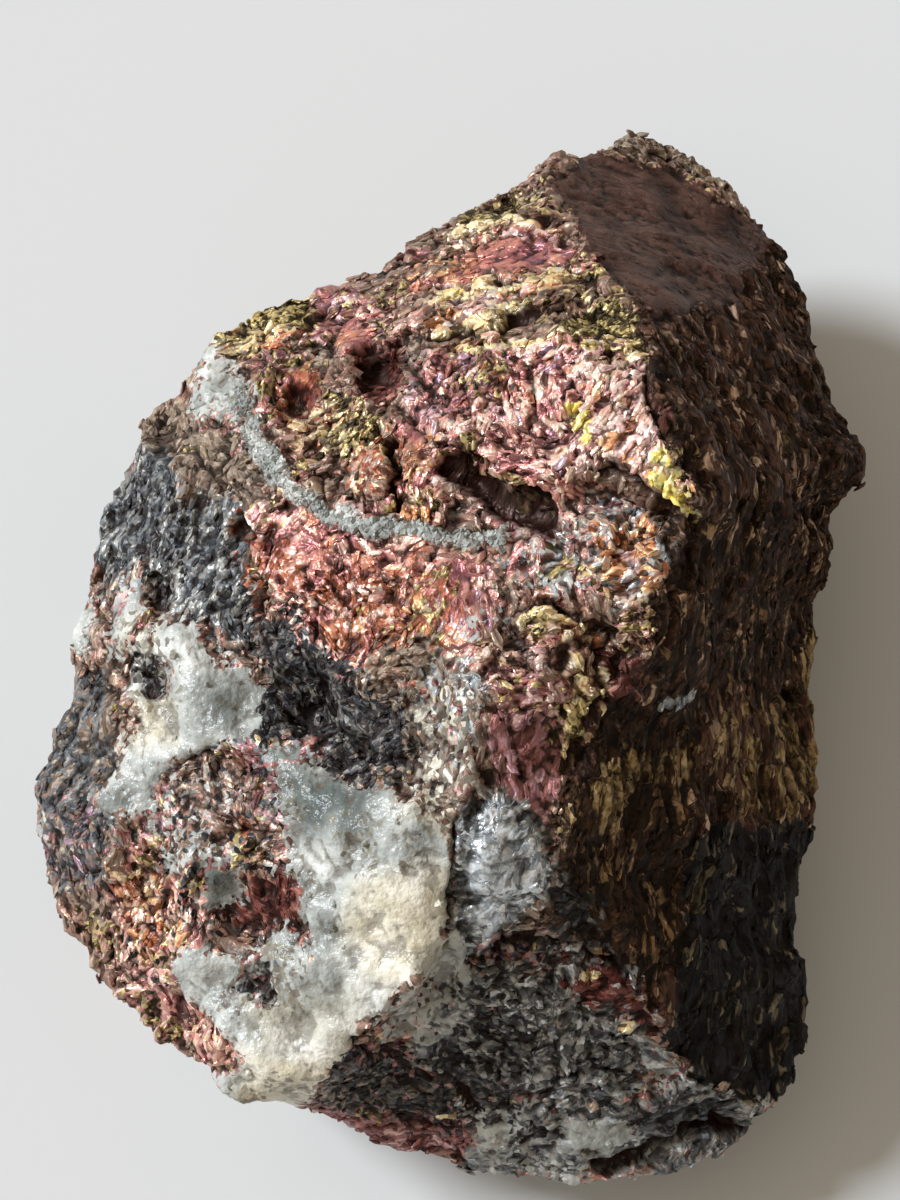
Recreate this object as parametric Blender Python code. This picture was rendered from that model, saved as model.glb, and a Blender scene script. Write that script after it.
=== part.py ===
"""Bornite specimen: one broken lump of peacock ore with milky quartz, lying on a flat of its underside.

The lump was chipped from solid rock, so it is one body. Its landmarks are given as they are seen from a sight
point high above its front: millimetres across and up a sight plane, and a height above the table. Straight
edges join the landmarks into the main facets, which are then divided, worn, pitted and roughened.
"""

import math

import bmesh
import bpy
from mathutils import Vector, noise
from mathutils.geometry import delaunay_2d_cdt

MM = 0.001

# The line of sight, in degrees and millimetres
SIGHT_ELEVATION = math.radians(70.0)
SIGHT_DISTANCE = 150.0
SIGHT_HEIGHT = 15.0
TO_EYE = Vector((0.0, -math.cos(SIGHT_ELEVATION), math.sin(SIGHT_ELEVATION)))
SIGHT_UP = Vector((0.0, math.sin(SIGHT_ELEVATION), math.cos(SIGHT_ELEVATION)))

# Lengths of the facets' small edges, in millimetres
TOP_EDGE = 1.9
FINE_EDGE = 0.7
UNDERSIDE_EDGE = 2.7
FINE_REACH = 1.2

# Roughness of the broken faces: sizes and heights in millimetres, the rest as shares
CHIP_SIZE = 4.4
CHIP_TILT = 0.34
CHIP_BORDER = 0.25
TILT_SPREAD = 7.3
GRAIN_SIZE = 2.6
GRAIN_HEIGHT = 0.22
GRAIN_DECAY = 0.8
GRAIN_REFINING = 2.1
GRAIN_LAYERS = 3
SHARP_EDGE = math.radians(38.0)

# Wear before and after the faces are roughened: rounds and strength, and the share of it that crests take
FIRST_WEAR = (2, 0.5)
LAST_WEAR = (1, 0.35)
CREST_WEAR = 0.4

# How pits and clefts are cut: the roundness of their sides, and the least turn toward the eye of what is cut
HOLLOW_ROUNDNESS = 1.5
LEAST_FACING = 0.05

# The foot of the lump, in millimetres: what counts as on the table, the gap kept by all else, and
# the height over which the roughness comes in
ON_TABLE = 0.001
TABLE_GAP = 0.3
ROUGH_ABOVE = 2.5

# Landmarks closer than this on the sight plane, in millimetres, count as one
SAME_PLACE = 1e-5

# The widest line all round the lump, clockwise from its top: across, up, height
GIRDLE = [
    (10.0, 25.3, 13.0), (11.6, 25.2, 13.0), (13.2, 24.1, 12.0), (13.9, 22.8, 12.0), (15.9, 21.0, 11.0),
    (17.8, 19.2, 10.5), (19.1, 17.0, 10.5), (19.8, 14.5, 11.0), (20.0, 12.6, 11.5), (21.2, 10.9, 12.5),
    (21.9, 9.4, 13.5), (22.5, 7.9, 13.5), (22.3, 6.3, 13.0), (21.6, 5.3, 12.0), (20.4, 4.2, 10.5),
    (20.1, 0.9, 9.5), (19.6, 0.0, 9.0), (19.4, -3.3, 8.5), (19.6, -6.3, 8.5), (19.8, -10.5, 8.5),
    (19.5, -13.5, 8.0), (19.0, -17.2, 7.5), (19.3, -20.2, 7.0), (19.2, -24.3, 6.5), (18.8, -26.2, 6.2),
    (17.8, -27.5, 6.0), (15.9, -29.1, 5.6), (13.5, -30.2, 5.2), (9.9, -31.5, 4.8), (7.9, -31.7, 4.6),
    (5.2, -31.3, 4.6), (1.6, -31.1, 4.8), (-0.1, -30.2, 5.2), (-2.7, -29.8, 5.6), (-5.3, -28.9, 6.4),
    (-7.3, -28.0, 7.6), (-8.1, -27.5, 10.0), (-10.5, -27.6, 11.0), (-12.2, -26.8, 11.2), (-13.3, -25.6, 11.0),
    (-14.1, -24.5, 10.8), (-16.7, -22.6, 10.4), (-19.0, -20.2, 10.0), (-20.9, -17.7, 10.0), (-21.8, -15.1, 10.5),
    (-22.7, -12.5, 11.0), (-22.4, -10.9, 11.2), (-21.4, -8.2, 11.6), (-20.3, -5.2, 12.0), (-20.7, -2.7, 12.4),
    (-20.3, -1.2, 12.6), (-19.3, 0.0, 12.6), (-18.8, 1.4, 12.6), (-19.0, 4.6, 12.6), (-17.7, 6.3, 13.0),
    (-17.1, 8.6, 13.4), (-16.8, 9.8, 13.6), (-15.7, 10.7, 14.0), (-14.3, 11.1, 14.6), (-13.7, 13.0, 15.2),
    (-12.9, 14.6, 15.4), (-11.3, 15.5, 15.7), (-8.6, 16.6, 16.0), (-6.1, 17.2, 16.2), (-3.8, 18.4, 16.4),
    (-1.5, 19.9, 16.4), (-0.1, 20.2, 16.5), (1.8, 21.7, 16.2), (4.1, 22.8, 16.0), (6.0, 23.9, 15.2),
    (8.0, 24.4, 14.5), (9.1, 25.1, 13.8),
]

# Crests and the feet of steps on the upper side: across, up, height. They are kept as sharp edges.
CRESTS = {
    "ridge between the lit and the steep side": [
        (6.0, 23.9, 15.2), (5.3, 22.1, 18.0), (7.2, 20.1, 20.8), (7.8, 18.3, 22.8), (10.0, 16.2, 25.6),
        (10.8, 13.8, 27.2), (10.9, 10.8, 28.4), (11.8, 8.6, 29.2), (13.3, 6.6, 29.2), (13.2, 4.4, 28.0),
    ],
    "lower edge of the pink slab": [
        (13.2, 4.4, 28.0), (10.3, 6.0, 27.8), (8.3, 7.4, 27.4), (5.9, 5.7, 26.6), (2.7, 7.2, 25.6),
        (-0.3, 8.6, 24.6),
    ],
    "foot of the pink slab": [
        (13.1, 3.5, 26.0), (10.4, 4.9, 25.9), (8.2, 6.4, 25.7), (6.0, 4.5, 24.9), (2.6, 6.2, 24.0),
        (-0.5, 7.7, 23.4),
    ],
    "ridge below the slab": [
        (13.1, 3.5, 26.0), (11.4, 2.1, 26.2), (11.3, -1.9, 25.8), (10.8, -3.2, 25.2), (8.4, -3.9, 24.4),
        (8.0, -5.7, 23.8), (6.8, -7.8, 23.0), (6.3, -10.3, 22.2), (6.3, -12.7, 21.4), (5.9, -14.7, 20.4),
        (4.3, -16.6, 18.8), (3.6, -18.0, 17.4),
    ],
    "lower rim of the mauve plate": [
        (10.0, 16.2, 25.6), (13.5, 15.9, 20.4), (16.3, 17.7, 14.8), (17.8, 19.2, 10.5),
    ],
    "edge of the steep side above the front ledge": [
        (3.6, -18.0, 17.4), (8.1, -19.3, 15.2), (10.7, -22.1, 12.9), (13.0, -26.4, 9.4), (17.8, -27.5, 6.0),
    ],
    "right edge of the quartz": [
        (1.6, -2.2, 25.2), (1.4, -6.0, 24.6), (0.6, -10.8, 22.9), (-0.1, -16.2, 20.8), (-0.5, -18.6, 19.4),
        (-3.5, -21.7, 17.6), (-5.3, -24.4, 15.4), (-7.1, -27.0, 12.0), (-8.1, -27.5, 10.0),
    ],
    "foot of the quartz on the front ledge": [
        (3.6, -18.0, 17.4), (0.6, -19.3, 16.0), (-2.6, -22.6, 12.9), (-4.4, -25.3, 10.6), (-6.3, -27.5, 8.3),
        (-7.3, -28.0, 7.6),
    ],
    "lower edge of the pink face": [
        (-10.4, 0.0, 19.6), (-7.0, -2.7, 21.6), (-3.8, -5.0, 22.8), (-1.1, -4.8, 23.6), (1.6, -2.2, 25.2),
    ],
    "floor of the dark trough": [
        (-10.8, -2.7, 18.0), (-8.1, -5.4, 18.3), (-4.9, -7.8, 19.2), (-1.6, -9.2, 21.0),
    ],
    "shoulder above the left flank": [
        (-16.2, 5.4, 15.8), (-17.3, 1.1, 15.3), (-17.8, -2.2, 15.4), (-18.1, -5.4, 15.0), (-18.1, -9.7, 14.6),
        (-17.9, -14.0, 14.0), (-15.7, -18.4, 13.4), (-13.2, -22.1, 13.4), (-11.6, -25.7, 12.8),
    ],
    "step across the gold ledges": [
        (-6.1, 14.6, 17.6), (-1.1, 17.0, 20.0), (3.2, 17.5, 21.8), (7.8, 18.3, 22.8),
    ],
    "back of the gold ledges": [
        (-3.8, 15.9, 18.4), (-0.9, 17.8, 19.2), (3.0, 18.3, 20.6), (6.4, 18.9, 21.6),
    ],
}

# Single high and low places of the upper side: across, up, height
SPOTS = {
    "pink slab": [(-2.7, 10.8, 23.2), (-2.2, 14.2, 21.6), (2.7, 13.8, 24.6), (6.5, 13.8, 26.3), (8.1, 14.8, 26.2)],
    "gold ledges": [(0.5, 18.7, 19.0), (3.5, 19.6, 19.4), (6.8, 19.2, 21.4), (2.7, 21.0, 17.6), (1.0, 16.2, 22.4)],
    "gold block": [
        (-10.0, 11.9, 18.8), (-6.5, 12.4, 19.6), (-8.1, 9.2, 20.0), (-5.4, 7.6, 21.6), (-3.5, 8.4, 23.2),
        (-2.9, 5.4, 23.2), (-2.0, 12.6, 22.0), (-9.2, 15.4, 16.6), (-12.1, 13.6, 15.6),
    ],
    "upper left": [
        (-14.3, 9.2, 16.6), (-11.3, 9.2, 18.6), (-12.7, 6.5, 17.6), (-14.6, 3.2, 16.8), (-11.9, 2.2, 18.4),
        (-15.1, 0.0, 16.6), (-13.5, -2.7, 17.8), (-11.3, -6.5, 18.0), (-14.6, -5.4, 16.8), (-16.2, -7.6, 15.6),
    ],
    "pink face": [(2.2, 2.2, 24.9), (-1.1, 2.2, 24.0), (-4.9, 2.2, 22.6), (-8.1, 3.2, 21.2), (-10.5, 4.3, 19.8)],
    "grey grains": [(2.7, 4.3, 24.7), (5.9, 2.2, 26.0), (8.6, 0.0, 26.6), (2.7, -1.1, 25.0)],
    "plum block": [(4.9, -2.2, 25.3), (4.6, -6.5, 24.2), (3.4, -10.0, 22.9)],
    "grey facet": [(3.0, -14.6, 21.0)],
    "quartz": [
        (-8.1, -9.7, 19.0), (-3.8, -10.8, 21.5), (-1.6, -14.6, 21.2), (-3.8, -18.9, 18.6), (-8.1, -16.2, 17.4),
        (-8.1, -21.6, 15.6), (-10.3, -24.8, 13.6), (-5.9, -14.6, 19.4),
    ],
    "bornite among the quartz": [
        (-11.9, -9.7, 17.4), (-13.5, -13.0, 16.2), (-10.8, -14.6, 16.6), (-15.1, -10.8, 15.8), (-16.2, -14.0, 14.8),
    ],
    "steep side": [
        (15.7, 10.8, 22.0), (17.0, 5.4, 21.6), (15.8, 0.0, 18.8), (14.1, -5.4, 18.0), (13.5, -12.4, 16.2),
        (13.5, -19.4, 12.4), (10.3, -7.6, 20.6), (10.3, -14.6, 17.2), (19.8, 7.6, 16.0),
    ],
    "mauve plate": [(11.3, 20.5, 16.5), (10.3, 23.5, 13.8)],
    "front ledge": [
        (0.0, -24.8, 10.6), (3.8, -23.2, 12.6), (7.0, -24.8, 11.2), (5.9, -28.4, 8.4), (-0.5, -28.1, 7.8),
        (11.3, -28.1, 8.2), (15.7, -27.8, 7.2),
    ],
}

# Pits: across, up, radius, depth
PITS = [
    (-8.2, 10.8, 1.3, 1.3), (-4.1, 12.3, 1.3, 1.5), (-10.9, 12.3, 0.8, 0.7), (-15.7, 0.4, 1.1, 1.1),
    (-16.1, -3.9, 1.2, 1.6), (-10.1, -20.8, 1.4, 1.0), (18.4, -5.8, 0.8, 0.8), (9.4, -3.8, 1.3, 1.2),
]

# Lumps: across, up, radius, height
LUMPS = [
    (-13.2, -5.4, 2.4, 0.8), (-12.0, -12.6, 3.4, 0.9), (-19.4, -1.4, 1.3, 0.5), (-14.2, -2.6, 1.0, 0.6),
    (-12.4, -22.6, 1.8, 0.7), (-5.0, -12.0, 2.6, 0.5), (-13.0, 12.0, 1.8, 0.6), (-3.2, 7.0, 1.3, 0.5),
    (20.6, 7.6, 2.4, 0.9), (-7.6, 7.6, 2.0, 0.5), (4.6, -4.4, 2.2, 0.5), (-15.6, 4.8, 2.6, 0.6),
]

# Cracks and clefts, each a line of across and up, then its half width and depth
CLEFTS = [
    ([(-3.5, 8.8), (-2.9, 6.8), (-2.7, 4.9)], 0.8, 0.8),
    ([(1.4, -10.8), (0.8, -15.1), (0.6, -17.6)], 0.8, 0.6),
    ([(6.2, -0.9), (7.2, -1.4), (8.4, -2.6)], 0.8, 0.5),
    ([(-11.6, 3.8), (-11.0, 1.6), (-10.4, -0.4)], 0.8, 0.7),
    ([(-4.4, 13.6), (-0.3, 14.0), (4.3, 15.4)], 0.8, 0.6),
]

# The belly, below the girdle: x, y and height over the table, then the flat that the lump lies on: x, y
BELLY = [
    (-22.0, -12.0, 5.0), (-20.6, -3.0, 6.5), (-18.6, 8.0, 6.5), (-12.5, 15.5, 8.5), (-4.0, 21.0, 7.5),
    (2.0, 25.0, 8.5), (10.0, 29.5, 7.0), (17.0, 24.5, 5.5), (20.5, 16.0, 6.0), (21.5, 9.0, 6.5),
    (20.0, 0.0, 4.0), (19.8, -10.0, 4.5), (19.0, -20.0, 3.2), (16.5, -25.2, 3.0), (8.5, -28.2, 2.4),
    (-1.0, -27.0, 3.0), (-9.0, -24.6, 5.5), (-14.5, -21.5, 5.0), (-19.5, -17.0, 5.5), (-15.6, 3.5, 2.4),
    (4.5, 23.5, 3.2), (18.2, 13.0, 2.8), (-11.5, -21.5, 2.2), (18.0, -14.0, 1.8), (-18.5, -7.0, 2.6),
]
REST_FLAT = [
    (-17.0, -11.0), (-14.0, -17.0), (-6.0, -21.0), (2.0, -23.0), (11.0, -22.5), (15.5, -17.0), (16.5, -8.0),
    (16.0, 2.0), (17.0, 10.0), (14.5, 18.0), (8.5, 22.5), (1.0, 19.0), (-7.0, 14.0), (-13.5, 8.0), (-16.0, -1.0),
]


def on_sight_line(across, up, height):
    """Gives the point at a height above the table that is seen at a place on the sight plane."""
    rise = math.cos(SIGHT_ELEVATION)
    toward = (height - SIGHT_HEIGHT - up * rise) / (math.sin(SIGHT_ELEVATION) - up * rise / SIGHT_DISTANCE)
    shrink = 1.0 - toward / SIGHT_DISTANCE
    point = Vector((across * shrink, 0.0, SIGHT_HEIGHT)) + SIGHT_UP * (up * shrink) + TO_EYE * toward
    return point


def as_seen(point):
    """Gives the place on the sight plane at which a point is seen."""
    level = point - Vector((0.0, 0.0, SIGHT_HEIGHT))
    shrink = 1.0 - level.dot(TO_EYE) / SIGHT_DISTANCE
    return Vector((level.x, level.dot(SIGHT_UP))) / shrink


def chain_steps(count, start=0, closed=False):
    """Gives the pairs of neighbours along a chain of landmarks."""
    steps = [(start + i, start + i + 1) for i in range(count - 1)]
    if closed:
        steps.append((start + count - 1, start))
    return steps


def facets_between(points, edges):
    """Joins landmarks into triangles that keep the given edges, inside the outermost loop of them."""
    seen = [as_seen(point) for point in points]
    places, _, triangles, sources, _, _ = delaunay_2d_cdt(seen, edges, [], 1, SAME_PLACE)
    if len(places) != len(points):
        raise ValueError("two edges between landmarks cross, or two landmarks meet")
    return [[sources[corner][0] for corner in triangle] for triangle in triangles]


def upper_side():
    """Gives the landmarks, kept edges and facets of the side that is seen."""
    places = list(GIRDLE)
    edges = chain_steps(len(GIRDLE), closed=True)
    for chain in CRESTS.values():
        for place in chain:
            if place not in places:
                places.append(place)
        edges += [(places.index(a), places.index(b)) for a, b in zip(chain, chain[1:])]
    for spots in SPOTS.values():
        places += spots
    points = [on_sight_line(*place) for place in places]
    return points, edges, facets_between(points, edges)


def underside():
    """Gives the landmarks, kept edges and facets of the side that lies on the table."""
    points = [on_sight_line(*place) for place in GIRDLE]
    edges = chain_steps(len(GIRDLE), closed=True)
    edges += chain_steps(len(REST_FLAT), start=len(points), closed=True)
    points += [Vector((x, y, 0.0)) for x, y in REST_FLAT]
    points += [Vector(place) for place in BELLY]
    return points, edges, facets_between(points, edges)


def build_cage():
    """Joins the two sides along the girdle into one closed body of main facets."""
    cage = bmesh.new()
    top_points, top_edges, top_facets = upper_side()
    low_points, low_edges, low_facets = underside()
    top = [cage.verts.new(point) for point in top_points]
    low = top[: len(GIRDLE)] + [cage.verts.new(point) for point in low_points[len(GIRDLE):]]
    for corners in top_facets:
        cage.faces.new([top[corner] for corner in corners])
    for corners in low_facets:
        cage.faces.new([low[corner] for corner in corners])
    for verts, edges in ((top, top_edges), (low, low_edges)):
        for a, b in edges:
            cage.edges.get((verts[a], verts[b])).seam = True
    bmesh.ops.recalc_face_normals(cage, faces=cage.faces)
    return cage


def distance_to_line(place, line):
    """Gives how far a place on the sight plane is from a chain of straight stretches."""
    nearest = math.inf
    for start, end in zip(line, line[1:]):
        start, end = Vector(start), Vector(end)
        along = end - start
        share = max(0.0, min(1.0, (place - start).dot(along) / along.length_squared))
        nearest = min(nearest, (place - start - along * share).length)
    return nearest


def wanted_edge(point, faces_eye):
    """Gives the longest small edge allowed at a point: finest by the pits and clefts."""
    if not faces_eye:
        return UNDERSIDE_EDGE
    place = as_seen(point)
    for across, up, radius, _ in PITS:
        if (place - Vector((across, up))).length < radius * FINE_REACH:
            return FINE_EDGE
    for line, half_width, _ in CLEFTS:
        if distance_to_line(place, line) < half_width * FINE_REACH:
            return FINE_EDGE
    return TOP_EDGE


def divide(body):
    """Divides the facets until no edge is longer than is wanted, and keeps the crests where they are."""
    while True:
        body.normal_update()
        long_edges = []
        for edge in body.edges:
            middle = (edge.verts[0].co + edge.verts[1].co) / 2
            faces_eye = any(face.normal.dot(TO_EYE) > 0.0 for face in edge.link_faces)
            if edge.calc_length() > wanted_edge(middle, faces_eye):
                long_edges.append(edge)
        if not long_edges:
            return
        bmesh.ops.subdivide_edges(body, edges=long_edges, cuts=1)
        bmesh.ops.triangulate(body, faces=body.faces)
        loose = [edge for edge in body.edges if not edge.seam]
        bmesh.ops.beautify_fill(body, faces=body.faces, edges=loose)


def on_rest_flat(vert):
    """Tells whether a corner belongs to the flat that the lump lies on."""
    return vert.co.z < ON_TABLE


def wear(body, rounds, strength):
    """Softens the angles between facets, and the crests less, as breaking and handling do."""
    for _ in range(rounds):
        moves = {}
        for vert in body.verts:
            if on_rest_flat(vert):
                continue
            near = [edge.other_vert(vert) for edge in vert.link_edges]
            on_crest = any(edge.seam for edge in vert.link_edges)
            if on_crest:
                near = [edge.other_vert(vert) for edge in vert.link_edges if edge.seam]
            middle = sum((other.co for other in near), Vector()) / len(near)
            moves[vert] = (middle - vert.co) * (strength * CREST_WEAR if on_crest else strength)
        for vert, move in moves.items():
            vert.co += move
            vert.co.z = max(vert.co.z, TABLE_GAP)


def bowl(share):
    """Gives the depth across a hollow, from 1 in its middle to 0 at its rim."""
    return max(0.0, 1.0 - share * share) ** HOLLOW_ROUNDNESS


def hollow_out(body):
    """Sinks the pits and clefts away from the eye, and raises the lumps toward it."""
    for vert in body.verts:
        if vert.normal.dot(TO_EYE) < LEAST_FACING:
            continue
        place = as_seen(vert.co)
        depth = 0.0
        for across, up, radius, pit_depth in PITS:
            depth += pit_depth * bowl((place - Vector((across, up))).length / radius)
        for across, up, radius, height in LUMPS:
            depth -= height * bowl((place - Vector((across, up))).length / radius)
        for line, half_width, cleft_depth in CLEFTS:
            depth += cleft_depth * bowl(distance_to_line(place, line) / half_width)
        vert.co -= TO_EYE * depth


def chipped(point):
    """Gives the relief of a broken face: small flat chips, each tilted its own way, with grains on them."""
    gaps, centres = noise.voronoi(point / CHIP_SIZE)
    tilt = noise.cell_vector(centres[0] * TILT_SPREAD)
    inside_chip = min(1.0, (gaps[1] - gaps[0]) / CHIP_BORDER)
    chip = (point - centres[0] * CHIP_SIZE).dot(tilt) * CHIP_TILT * inside_chip
    grain = noise.fractal(point / GRAIN_SIZE, GRAIN_DECAY, GRAIN_REFINING, GRAIN_LAYERS) * GRAIN_HEIGHT
    return chip + grain


def roughen(body):
    """Breaks the smooth facets into chips, and fades that out at the flat that the lump lies on."""
    body.normal_update()
    moves = {}
    for vert in body.verts:
        if not on_rest_flat(vert):
            fade = min(1.0, vert.co.z / ROUGH_ABOVE)
            moves[vert] = vert.normal * (chipped(vert.co) * fade)
    for vert, move in moves.items():
        vert.co += move
        vert.co.z = max(vert.co.z, TABLE_GAP)


def stand_over_origin(body):
    """Moves the lump so that the middle of its underside is the origin."""
    low = [min(vert.co[axis] for vert in body.verts) for axis in range(2)]
    high = [max(vert.co[axis] for vert in body.verts) for axis in range(2)]
    middle = Vector(((low[0] + high[0]) / 2, (low[1] + high[1]) / 2, 0.0))
    bmesh.ops.translate(body, verts=body.verts, vec=-middle)
    bmesh.ops.scale(body, verts=body.verts, vec=(MM, MM, MM))


def ore_material():
    """Makes the finish of tarnished bornite, in the brownish mauve that the whole lump has from afar."""
    material = bpy.data.materials.new("tarnished_bornite")
    material.use_nodes = True
    shader = material.node_tree.nodes["Principled BSDF"]
    shader.inputs["Base Color"].default_value = (0.24, 0.15, 0.14, 1.0)
    shader.inputs["Roughness"].default_value = 0.45
    shader.inputs["Metallic"].default_value = 0.5
    return material


def add_to_scene(body, name):
    """Puts the finished lump in the scene, in a collection of the object's name."""
    mesh = bpy.data.meshes.new(name)
    body.to_mesh(mesh)
    mesh.shade_smooth()
    mesh.set_sharp_from_angle(angle=SHARP_EDGE)
    mesh.materials.append(ore_material())
    stone = bpy.data.objects.new(name, mesh)
    collection = bpy.data.collections.new("bornite specimen")
    bpy.context.scene.collection.children.link(collection)
    collection.objects.link(stone)
    return stone


def main():
    for old in list(bpy.data.objects):
        bpy.data.objects.remove(old, do_unlink=True)
    body = build_cage()
    divide(body)
    wear(body, *FIRST_WEAR)
    hollow_out(body)
    roughen(body)
    wear(body, *LAST_WEAR)
    stand_over_origin(body)
    bmesh.ops.triangulate(body, faces=body.faces)
    bmesh.ops.recalc_face_normals(body, faces=body.faces)
    add_to_scene(body, "bornite_specimen")
    body.free()


main()
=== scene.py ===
import math

import bmesh
import bpy
import numpy as np
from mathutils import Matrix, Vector, noise


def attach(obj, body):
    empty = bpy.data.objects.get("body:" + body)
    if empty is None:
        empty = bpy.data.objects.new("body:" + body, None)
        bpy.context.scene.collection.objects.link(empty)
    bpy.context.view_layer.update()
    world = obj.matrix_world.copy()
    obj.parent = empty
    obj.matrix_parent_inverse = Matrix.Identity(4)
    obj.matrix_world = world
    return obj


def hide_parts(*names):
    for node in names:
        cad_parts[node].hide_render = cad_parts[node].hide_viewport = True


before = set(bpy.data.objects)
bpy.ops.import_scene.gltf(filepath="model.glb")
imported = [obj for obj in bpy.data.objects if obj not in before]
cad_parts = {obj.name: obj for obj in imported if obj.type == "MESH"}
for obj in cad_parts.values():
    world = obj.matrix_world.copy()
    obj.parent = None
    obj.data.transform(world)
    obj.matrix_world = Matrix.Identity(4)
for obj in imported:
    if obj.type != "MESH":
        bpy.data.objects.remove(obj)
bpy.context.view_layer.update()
scene = bpy.context.scene

# The view, the window light and the paper. The stone lies on white paper and is seen from high above its
# front, 150 mm away. A window on its left lights it, and the room gives a weaker, warmer light from all round.
SIGHT_ELEVATION = math.radians(70.0)
SIGHT_DISTANCE = 150.0
SIGHT_AIM = np.array([-0.431, -0.065, 15.0])
PICTURE_WIDTH, PICTURE_HEIGHT = 900, 1200
MM_PER_PIXEL = 0.054
FILM_HEIGHT = 36.0
NEAREST_SEEN = 0.01
TO_EYE = np.array([0.0, -math.cos(SIGHT_ELEVATION), math.sin(SIGHT_ELEVATION)])
SIGHT_UP = np.array([0.0, math.sin(SIGHT_ELEVATION), math.cos(SIGHT_ELEVATION)])
MM = 0.001

camera_data = bpy.data.cameras.new("camera")
camera_data.sensor_fit = "VERTICAL"
camera_data.sensor_height = FILM_HEIGHT
camera_data.lens = FILM_HEIGHT * SIGHT_DISTANCE / (PICTURE_HEIGHT * MM_PER_PIXEL)
camera_data.clip_start = NEAREST_SEEN
camera = bpy.data.objects.new("camera", camera_data)
camera.location = (SIGHT_AIM + TO_EYE * SIGHT_DISTANCE) * MM
camera.rotation_euler = (math.pi / 2 - SIGHT_ELEVATION, 0.0, 0.0)
scene.collection.objects.link(camera)
scene.camera = camera
scene.view_settings.view_transform = "Standard"

WINDOW_ELEVATION = math.radians(36.0)
WINDOW_TURN = math.radians(18.0)
window_data = bpy.data.lights.new("window", "SUN")
window_data.energy = 3.75
window_data.angle = math.radians(16.0)
window_data.color = (0.89, 0.94, 1.0)
window = bpy.data.objects.new("window", window_data)
from_window = Vector((-math.cos(WINDOW_ELEVATION) * math.cos(WINDOW_TURN),
                      math.cos(WINDOW_ELEVATION) * math.sin(WINDOW_TURN), math.sin(WINDOW_ELEVATION)))
window.rotation_euler = from_window.to_track_quat("Z", "Y").to_euler()
scene.collection.objects.link(window)


class Socket:
    """A socket of a node. Sums on it add Math nodes beside it."""

    def __init__(self, tree, socket):
        self.tree = tree
        self.socket = socket

    def sum(self, operation, *terms):
        return add_node(self.tree, "ShaderNodeMath", {"operation": operation}, dict(enumerate(terms)))

    def __add__(self, other):
        return self.sum("ADD", self, other)

    __radd__ = __add__

    def __mul__(self, other):
        return self.sum("MULTIPLY", self, other)

    __rmul__ = __mul__

    def __sub__(self, other):
        return self.sum("SUBTRACT", self, other)

    def __rsub__(self, other):
        return self.sum("SUBTRACT", other, self)

    def clamped(self):
        return add_node(self.tree, "ShaderNodeClamp", {}, {0: self})


def add_node(tree, kind, settings, values, output=0):
    """Adds a node: first its settings, then the values or links of its sockets. Gives one of its outputs."""
    node = tree.nodes.new(kind)
    for name, setting in settings.items():
        if name == "stops":
            ramp = node.color_ramp
            while len(ramp.elements) < len(setting):
                ramp.elements.new(0.5)
            for element, (position, colour) in zip(ramp.elements, setting):
                element.position = position
                element.color = (*colour, 1.0)
        else:
            setattr(node, name, setting)
    for name, value in values.items():
        if isinstance(value, Socket):
            tree.links.new(value.socket, node.inputs[name])
        else:
            node.inputs[name].default_value = value
    return Socket(tree, node.outputs[output]) if node.outputs else None


ROOM_LEFT, ROOM_RIGHT = (0.50, 0.44, 0.37), (0.26, 0.215, 0.16)
room = bpy.data.worlds.new("room")
scene.world = room
room.use_nodes = True
room_tree = room.node_tree
room_tree.nodes.clear()
direction = add_node(room_tree, "ShaderNodeTexCoord", {}, {}, "Generated")
toward_right = add_node(room_tree, "ShaderNodeSeparateXYZ", {}, {0: direction}, "X")
room_colour = add_node(room_tree, "ShaderNodeValToRGB",
                       {"stops": [(0.0, ROOM_LEFT), (1.0, ROOM_RIGHT)]},
                       {0: toward_right * 0.5 + 0.5})
room_light = add_node(room_tree, "ShaderNodeBackground", {}, {"Color": room_colour})
add_node(room_tree, "ShaderNodeOutputWorld", {}, {"Surface": room_light})


def rgb(red, green, blue):
    """Gives the linear colour of a colour as it looks on a screen, 0 to 255."""
    return tuple(((share / 255 + 0.055) / 1.055) ** 2.4 for share in (red, green, blue))


PAPER_HALF = 1.5
paper_corners = [(x * PAPER_HALF, y * PAPER_HALF, 0.0) for x, y in ((-1, -1), (1, -1), (1, 1), (-1, 1))]
paper_mesh = bpy.data.meshes.new("paper")
paper_mesh.from_pydata(paper_corners, [], [(0, 1, 2, 3)])
paper = bpy.data.objects.new("paper", paper_mesh)
scene.collection.objects.link(paper)
paper_finish = bpy.data.materials.new("white paper")
paper_finish.use_nodes = True
paper_shader = paper_finish.node_tree.nodes["Principled BSDF"]
paper_shader.inputs["Base Color"].default_value = (*rgb(223, 226, 227), 1.0)
paper_shader.inputs["Roughness"].default_value = 0.9
paper_mesh.materials.append(paper_finish)

# The stone's body: bornite, quartz and grey sulphide grown together and broken out of the rock in one lump.
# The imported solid's facets are divided into edges of about a third of a millimetre where they face the eye,
# their corners are worn a little, and the fine relief of each mineral is raised on them. Lengths are in
# millimetres.
WELD_DISTANCE = 0.001
FINE_EDGE = 0.35
COARSE_EDGE = 0.8
FACES_EYE = -0.05
DIVIDING_ROUNDS = 4
FEW_FACES = 60000

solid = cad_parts["bornite_specimen"]
body = bmesh.new()
body.from_mesh(solid.data)
bmesh.ops.scale(body, vec=(1 / MM, 1 / MM, 1 / MM), verts=body.verts)
bmesh.ops.remove_doubles(body, verts=body.verts, dist=WELD_DISTANCE)
bmesh.ops.triangulate(body, faces=body.faces)


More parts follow.
